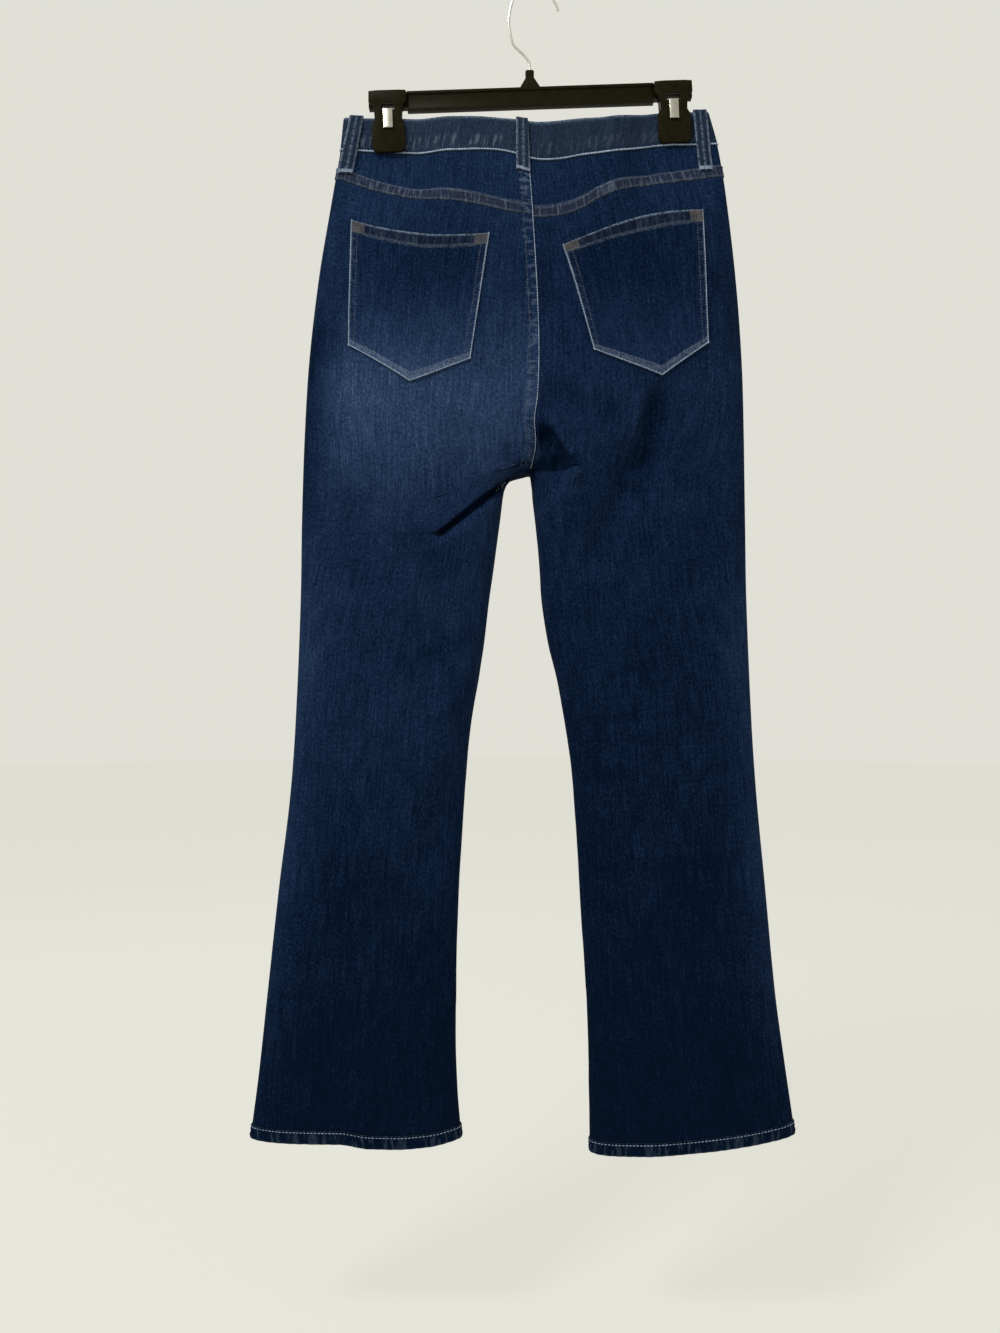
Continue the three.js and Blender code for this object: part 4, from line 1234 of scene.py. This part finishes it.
def sew(name, lines, material, tree, spacing=3.3, length=3.0, thickness=0.85):
    """One mesh of stitches along lines of points, given in millimetres."""
    points = np.concatenate(lines) * MM
    edges, start = [], 0
    for line in lines:
        edges += [(start + k, start + k + 1) for k in range(len(line) - 1)]
        start += len(line)
    mesh = bpy.data.meshes.new(name)
    mesh.from_pydata(points.tolist(), edges, [])
    rows = made(name, mesh)
    modifier = rows.modifiers.new("sewing", "NODES")
    modifier.node_group = tree
    values = {
        "Spacing": spacing * MM,
        "Length": length * MM,
        "Thickness": thickness * MM,
        "Material": material,
    }
    for socket in tree.interface.items_tree:
        if socket.in_out == "INPUT" and socket.name in values:
            modifier[socket.identifier] = values[socket.name]
    graph = bpy.context.evaluated_depsgraph_get()
    plain = bpy.data.meshes.new_from_object(rows.evaluated_get(graph))
    rows.modifiers.clear()
    rows.data = plain
    return finish(rows, material, "denim")


def waist_line(side, face):
    """The thick row along the foot of the waistband."""
    s = np.linspace(0.02, 1, 120) * (1 if face == "seat" else -1)
    return cloth_band(side, s, BAND - 1.9)


def cloth_band(side, s, level):
    level = np.broadcast_to(float(level), s.shape)
    place = skin(side, s, level)
    return place + facing(side, s, level) * (band_rise(level) + 0.35)[..., None]


def yoke_lines(side):
    s = np.linspace(-0.05, 0.999, 150)
    low = yoke_level(side, s)
    return [cloth(side, s, low - off, FELL_RISE + 0.25) for off in (1.6, FELL - 1.4)]


def down_line(off, top, bottom, rise):
    """A row beside the centre-back seam, off it by a distance on the left panel."""
    level = np.linspace(top, bottom, 110)
    x = skin("left", np.ones(level.shape), level)[:, 0] - off
    s = column_at("left", "seat", x, level)
    return cloth("left", s, level, rise)


def pocket_round(side, off, start, rise):
    """A row down both sides and along the foot of a pocket, off its edge by a distance."""
    wide, tall = POCKET_WIDE, POCKET_TALL
    r = np.linspace(start / tall, 1 - off / tall, 60)
    t = np.linspace(off / wide, 1 - off / wide, 60)
    same, high = np.ones(60), np.full(60, rise)
    return [
        pocket_place(side, same * off / wide, r, high)[0],
        pocket_place(side, 1 - same * off / wide, r, high)[0],
        pocket_place(side, t, same - off / tall, high)[0],
    ]


def pocket_edges(side):
    return pocket_round(side, 1.0, 1.0, DENIM + 0.45)


def pocket_rows(side):
    """The inner row, and the one under the turned top."""
    lines = pocket_round(side, 7.6, POCKET_HEM, DENIM + 0.4)
    t = np.linspace(0.012, 0.988, 70)
    r = np.full(70, (POCKET_HEM - 1.4) / POCKET_TALL)
    return [*lines, pocket_place(side, t, r, np.full(70, DENIM + 0.8))[0]]


def pocket_tacks(side):
    """Dense zigzags at a pocket's two top corners."""
    lines = []
    for t0, t1 in ((0.01, 0.1), (0.9, 0.99)):
        for down in np.arange(1.0, 12.5, 1.25):
            t = np.linspace(t0, t1, 20)
            r = (down + np.where(np.arange(20) % 2, 1.0, 0)) / POCKET_TALL
            lines.append(pocket_place(side, t, r, np.full(20, DENIM + 0.75))[0])
    return lines


def loop_lines(name):
    down = np.linspace(0.02, 0.98, 40)
    return [loop_place(name, np.full(40, t), down, np.full(40, DENIM + 0.3)) for t in (-0.36, 0.36)]


def loop_tacks(name):
    lines = []
    for low, high in ((0.93, 0.985),):
        t = np.linspace(-0.46, 0.46, 26)
        down = np.where(np.arange(26) % 2, low, high)
        lines.append(loop_place(name, t, down, np.full(26, DENIM + 0.5)))
    return lines


def hem_line(side):
    s = np.concatenate([np.linspace(0, 1, 120)[:-1], np.linspace(-1, 0, 120)])
    level = np.full(s.shape, HEM[side] - HEM_BAND + 1.8)
    place = skin(side, s, level)
    rise = 1.25 + relief(side, s, place, level)
    return place + facing(side, s, level) * rise[..., None]


def front_lines(side):
    """Double rows along a scoop, and the fly's curved double row on the wearer's left."""
    lines = []
    for off in (2.0, 7.5):
        s = -np.linspace(SCOOP_FROM + 0.005, SCOOP_TO - 0.012, 110)
        lines.append(cloth(side, s, scoop_level(s) + off, np.full(s.shape, 0.75)))
    if side == "left":
        for off in (31, 36):
            turn = np.linspace(0, 1, 90)
            level = mix(BAND + 3, 208 - (36 - off), np.minimum(1, turn / 0.82))
            x = -4 - off * np.sqrt(1 - smooth(150, 209 - (36 - off), level) ** 2 * 0.96)
            s = column_at("left", "belly", x, level)
            lines.append(cloth("left", s, level, np.full(s.shape, 1.3)))
    return lines


def inseam_line(side):
    level = np.linspace(CROTCH + 30, HEM[side] - HEM_BAND - 3, 200)
    s = -(2 - inseam(level)) + 0.02
    return cloth(side, s, level, np.full(level.shape, 0.3))


def copied(name, node):
    """A welded copy of a frame node's mesh, with its flat faces joined."""
    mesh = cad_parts[node].data.copy()
    mesh.name = name
    work = bmesh.new()
    work.from_mesh(mesh)
    bmesh.ops.remove_doubles(work, verts=work.verts, dist=2e-6)
    bmesh.ops.dissolve_limit(
        work, angle_limit=math.radians(1), verts=work.verts, edges=work.edges
    )
    work.to_mesh(mesh)
    work.free()
    mesh.attributes.active_color = None
    return made(name, mesh)


def eased(thing, width, segments=3, angle=32):
    """Rounds a moulded piece's edges."""
    bevel = thing.modifiers.new("ease", "BEVEL")
    bevel.width = width * MM
    bevel.segments = segments
    bevel.limit_method = "ANGLE"
    bevel.angle_limit = math.radians(angle)
    bevel.use_clamp_overlap = True
    graph = bpy.context.evaluated_depsgraph_get()
    plain = bpy.data.meshes.new_from_object(thing.evaluated_get(graph))
    thing.modifiers.clear()
    thing.data = plain
    plain.shade_smooth()
    plain.set_sharp_from_angle(angle=math.radians(40))
    return thing


# The hook's path in the plane of the hanger.
WIRE_RADIUS, WIRE_ARC = 1.6, 23.3
HOOK_NECK = (
    (-3.4, -104), (-3.6, -97), (-3.7, -89), (-4, -82.5), (-6, -78), (-12.6, -70.5),
    (-19.4, -64.3), (-22.9, -57.9), (-25.5, -44.5), (-26.1, -35.5), (-24.9, -25.6),
)
HOOK_TIP = ((25, -20.3), (26.6, -24.3))


def spline(points, count):
    """A smooth line through points."""
    points = np.asarray(points, float)
    padded = np.vstack([2 * points[0] - points[1], points, 2 * points[-1] - points[-2]])
    out = []
    for i in range(1, len(padded) - 2):
        p0, p1, p2, p3 = padded[i - 1 : i + 3]
        t = np.linspace(0, 1, count, endpoint=False)[:, None]
        line = 2 * p1 + (p2 - p0) * t + (2 * p0 - 5 * p1 + 4 * p2 - p3) * t**2
        out.append((line + (3 * p1 - p0 - 3 * p2 + p3) * t**3) / 2)
    return np.vstack([*out, points[-1:]])


def hook_wire():
    """A bent round wire with a domed end."""
    turns = np.radians([162, 145, 125, 105, 85, 65, 45, 28, 16])
    arc = np.stack([WIRE_ARC * np.cos(turns), WIRE_RADIUS - WIRE_ARC + WIRE_ARC * np.sin(turns)], 1)
    line = spline(np.vstack([HOOK_NECK, arc, HOOK_TIP]), 5)
    end = unit(line[-1] - line[-2])
    radii = np.full(len(line), WIRE_RADIUS)
    dome = [(0.9, 0.92), (1.35, 0.62), (1.55, 0.25)]
    line = np.vstack([line, [line[-1] + end * reach for reach, _ in dome]])
    radii = np.concatenate([radii, [WIRE_RADIUS * share for _, share in dome]])
    way = unit(np.gradient(line, axis=0))
    across = np.stack([way[:, 1], -way[:, 0]], axis=1)
    turn = np.linspace(0, 2 * math.pi, 16, endpoint=False)
    x = line[:, None, 0] + radii[:, None] * np.cos(turn) * across[:, None, 0]
    z = line[:, None, 1] + radii[:, None] * np.cos(turn) * across[:, None, 1]
    y = radii[:, None] * np.sin(turn) + 0 * x
    points = np.stack([x, y, z], axis=-1).reshape(-1, 3) * MM
    rows, ring = len(line), len(turn)
    faces = [
        (j * ring + i, j * ring + (i + 1) % ring, (j + 1) * ring + (i + 1) % ring, (j + 1) * ring + i)
        for j in range(rows - 1)
        for i in range(ring)
    ]
    faces += [tuple(range(ring))[::-1], tuple((rows - 1) * ring + i for i in range(ring))]
    mesh = bpy.data.meshes.new("hook_wire")
    mesh.from_pydata(points.tolist(), [], faces)
    work = bmesh.new()
    work.from_mesh(mesh)
    bmesh.ops.recalc_face_normals(work, faces=work.faces)
    work.to_mesh(mesh)
    work.free()
    mesh.shade_smooth()
    return made("hook_wire", mesh)


def button_disc():
    """A shank button: a rolled rim, a dished middle and a raised ring in relief."""
    low, high = (np.array(corner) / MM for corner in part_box("waist_button"))
    centre = (low + high) / 2
    back, front = low[1], high[1]
    profile = [
        (0.01, 0), (4, 0), (4, 1), (8.0, 1.15), (8.5, 1.5), (8.5, 2.1), (8.2, 2.75), (7.6, 3.1),
        (7.0, 3.05), (6.4, 2.7), (5.6, 2.45), (4.6, 2.4), (4.2, 2.62), (3.8, 2.62), (3.4, 2.36),
        (2.0, 2.3), (0.01, 2.28),
    ]
    profile = [(r, min(y, front - back)) for r, y in profile]
    count = 48
    turn = np.linspace(0, 2 * math.pi, count, endpoint=False)
    rings = [
        np.stack([centre[0] + r * np.cos(turn), back + y + 0 * turn, centre[2] + r * np.sin(turn)], 1)
        for r, y in profile
    ]
    points = np.concatenate(rings) * MM
    faces = [
        (j * count + i, (j + 1) * count + i, (j + 1) * count + (i + 1) % count, j * count + (i + 1) % count)
        for j in range(len(profile) - 1)
        for i in range(count)
    ]
    faces += [tuple(range(count)), tuple((len(profile) - 1) * count + i for i in range(count))[::-1]]
    mesh = bpy.data.meshes.new("button_disc")
    mesh.from_pydata(points.tolist(), [], faces)
    work = bmesh.new()
    work.from_mesh(mesh)
    bmesh.ops.recalc_face_normals(work, faces=work.faces)
    work.to_mesh(mesh)
    work.free()
    mesh.shade_smooth()
    mesh.set_sharp_from_angle(angle=math.radians(50))
    return made("button_disc", mesh)


def sew_jeans():
    """All the rows of stitches: lists of pieces by the name of the sheet that they are on."""
    colours = {
        "pale": thread("pale_thread", (0.30, 0.37, 0.47), (0.17, 0.22, 0.30)),
        "faded": thread("faded_thread", (0.105, 0.115, 0.15), (0.035, 0.045, 0.07)),
        "buff": thread("buff_thread", (0.15, 0.135, 0.125), (0.06, 0.058, 0.065)),
    }
    tree, sewn = stitch_tree(), {}

    def rows(name, on, lines, colour, *sizes):
        sewn.setdefault(on, []).append(sew(name, lines, colours[colour], tree, *sizes))

    both = ("left", "right")
    rows("waist_cord", "band_back", [waist_line(side, "seat") for side in both], "pale", 3.0, 3.6, 2.2)
    edge, row = (down_line(off, BAND + 19, CROTCH - 6, FELL_RISE + 0.25) for off in (1.0, FELL - 1.6))
    rows("centre_edge", "back_panel_left", [edge], "pale", 3.0, 3.2, 1.0)
    rows("centre_rows", "back_panel_left", [row], "faded", 3.0, 2.4, 0.7)
    for side in both:
        band, front, pocket = f"band_front_{side}", f"front_panel_{side}", f"pocket_patch_{side}"
        rows(f"waist_cord_{side}", band, [waist_line(side, "belly")], "pale", 3.0, 3.6, 1.0)
        rows(f"yoke_rows_{side}", f"yoke_panel_{side}", yoke_lines(side), "faded", 2.6, 2.2, 0.75)
        rows(f"pocket_edges_{side}", pocket, pocket_edges(side), "pale", 3.0, 3.2, 1.0)
        rows(f"pocket_rows_{side}", pocket, pocket_rows(side), "faded", 3.2, 2.2, 0.7)
        rows(f"pocket_tacks_{side}", pocket, pocket_tacks(side), "buff", 1.5, 1.7, 0.6)
        rows(f"hem_rows_{side}", f"hem_fold_{side}", [hem_line(side)], "pale", 3.8, 2.9, 0.9)
        rows(f"front_rows_{side}", front, front_lines(side), "faded", 3.0, 2.6, 0.75)
        rows(f"inseam_rows_{side}", front, [inseam_line(side)], "faded", 3.4, 2.6, 0.6)
    for name in LOOPS:
        rows(f"loop_rows_{name}", f"belt_loop_{name}", loop_lines(name), "faded", 2.9, 2.3, 0.6)
        rows(f"loop_tacks_{name}", f"belt_loop_{name}", loop_tacks(name), "pale", 1.3, 1.9, 0.6)
    return sewn


def make_jeans():
    cloth_paint = denim("indigo_twill", INDIGO)
    band_paint = denim("band_twill", SLATE)
    clips = ("clip_jaw_left", "clip_jaw_right", "hanger_bar")
    sheets = [(waistband_back(), band_paint, "waistband", "waistband_back", clips)]
    for side in ("left", "right"):
        band, yoke, legs = f"band_front_{side}", f"yoke_panel_{side}", f"_panel_{side}"
        sheets += [
            (waistband_front(side), band_paint, "waistband", f"waistband_front_{side}", clips),
            (yoke_panel(side), cloth_paint, "denim", f"yoke_{side}", ("band_back",)),
            (back_panel(side), cloth_paint, "denim", f"back_leg_{side}", (yoke,)),
            (front_panel(side), cloth_paint, "denim", f"front_leg_{side}", (band,)),
            (pocket_patch(side), cloth_paint, "denim", f"seat_pocket_{side}", ("back" + legs,)),
            (facing_panel(side), cloth_paint, "denim", f"pocket_facing_{side}", (band,)),
            (hem_band(side), cloth_paint, "denim", f"hem_{side}", ("back" + legs, "front" + legs)),
        ]
    for name, (side, face, *_) in LOOPS.items():
        band = "band_back" if face == "seat" else f"band_front_{side}"
        sheets.append((belt_loop(name), band_paint, "waistband", f"loop_{name}", (band,)))
    for thing, paint, slot, node, _ in sheets:
        finish(thing, paint, slot, node)
    sewn = sew_jeans()


def make_hanger():
    black = plastic("hanger_plastic")
    steel = metal("hanger_steel", (0.72, 0.71, 0.68), (0.5, 0.49, 0.46), 0.16, 0.34)
    strap_steel = metal("strap_steel", (0.5, 0.48, 0.41), (0.3, 0.285, 0.235), 0.2, 0.4)
    brass = metal("button_brass", (0.36, 0.25, 0.14), (0.16, 0.11, 0.065), 0.3, 0.5)
    finish(eased(copied("hanger_frame", "hanger_bar"), 0.7), black, "plastic", "hanger_bar")
    for side in ("left", "right"):
        jaw = eased(copied(f"clip_face_{side}", f"clip_jaw_{side}"), 1.1)
        finish(jaw, black, "plastic", f"clip_jaw_{side}")
        strap = eased(copied(f"clip_strap_{side}", f"clip_spring_{side}"), 0.25, 2)
        finish(strap, strap_steel, "steel", f"clip_spring_{side}")
    finish(hook_wire(), steel, "steel", "hanger_hook")
    finish(button_disc(), brass, "brass", "waist_button")


# The floor's height in metres, a little under the hems.
FLOOR_Z = -1.46


def make_stage():
    bpy.ops.mesh.primitive_circle_add(vertices=96, radius=9, fill_type="NGON", location=(0, 0, FLOOR_Z))
    floor = bpy.context.object
    floor.name = "floor"
    pale = bpy.data.materials.new("pale_floor")
    pale.use_nodes = True
    paint = pale.node_tree.nodes["Principled BSDF"].inputs
    paint["Base Color"].default_value = (0.15, 0.15, 0.14, 1)
    paint["Roughness"].default_value = 1.0
    paint["Specular IOR Level"].default_value = 0.0
    paint["Emission Color"].default_value = (1.0, 0.99, 0.9, 1)
    paint["Emission Strength"].default_value = 0.62
    floor.data.materials.append(pale)
    world = bpy.data.worlds.new("studio")
    world.use_nodes = True
    world.node_tree.nodes["Background"].inputs["Color"].default_value = (1.0, 0.992, 0.91, 1)
    world.node_tree.nodes["Background"].inputs["Strength"].default_value = 0.75
    bpy.context.scene.world = world
    lamps = {
        # name: (place, aimed at, size, watts)
        "key": ((-1.2, -1.7, 1.5), (0, 0, -0.45), 0.6, 60),
        "fill": ((2.0, -1.8, -0.2), (0, 0, -0.7), 1.8, 4),
        "rim": ((-1.0, 2.2, 0.6), (0, 0, -0.7), 1.6, 12),
    }
    for name, (place, target, size, watts) in lamps.items():
        light = bpy.data.lights.new(name, "AREA")
        light.size = size
        light.energy = watts
        lamp = bpy.data.objects.new(name, light)
        lamp.location = place
        lamp.rotation_euler = (Vector(target) - Vector(place)).to_track_quat("-Z", "Y").to_euler()
        bpy.context.scene.collection.objects.link(lamp)
    bpy.context.scene.view_settings.view_transform = "Standard"


def make_camera():
    """The photograph's view: level, from 1.4 m behind the seat."""
    distance, tall = 1.4, 1.433
    camera = bpy.data.cameras.new("camera")
    camera.sensor_fit = "VERTICAL"
    camera.sensor_height = 36
    camera.sensor_width = 36
    camera.lens = 36 * distance / tall
    eye = bpy.data.objects.new("camera", camera)
    eye.location = (-0.0355, -distance, -0.730)
    eye.rotation_euler = (math.pi / 2, 0, 0)
    bpy.context.scene.collection.objects.link(eye)
    bpy.context.scene.camera = eye


make_camera()
make_jeans()
make_hanger()
make_stage()
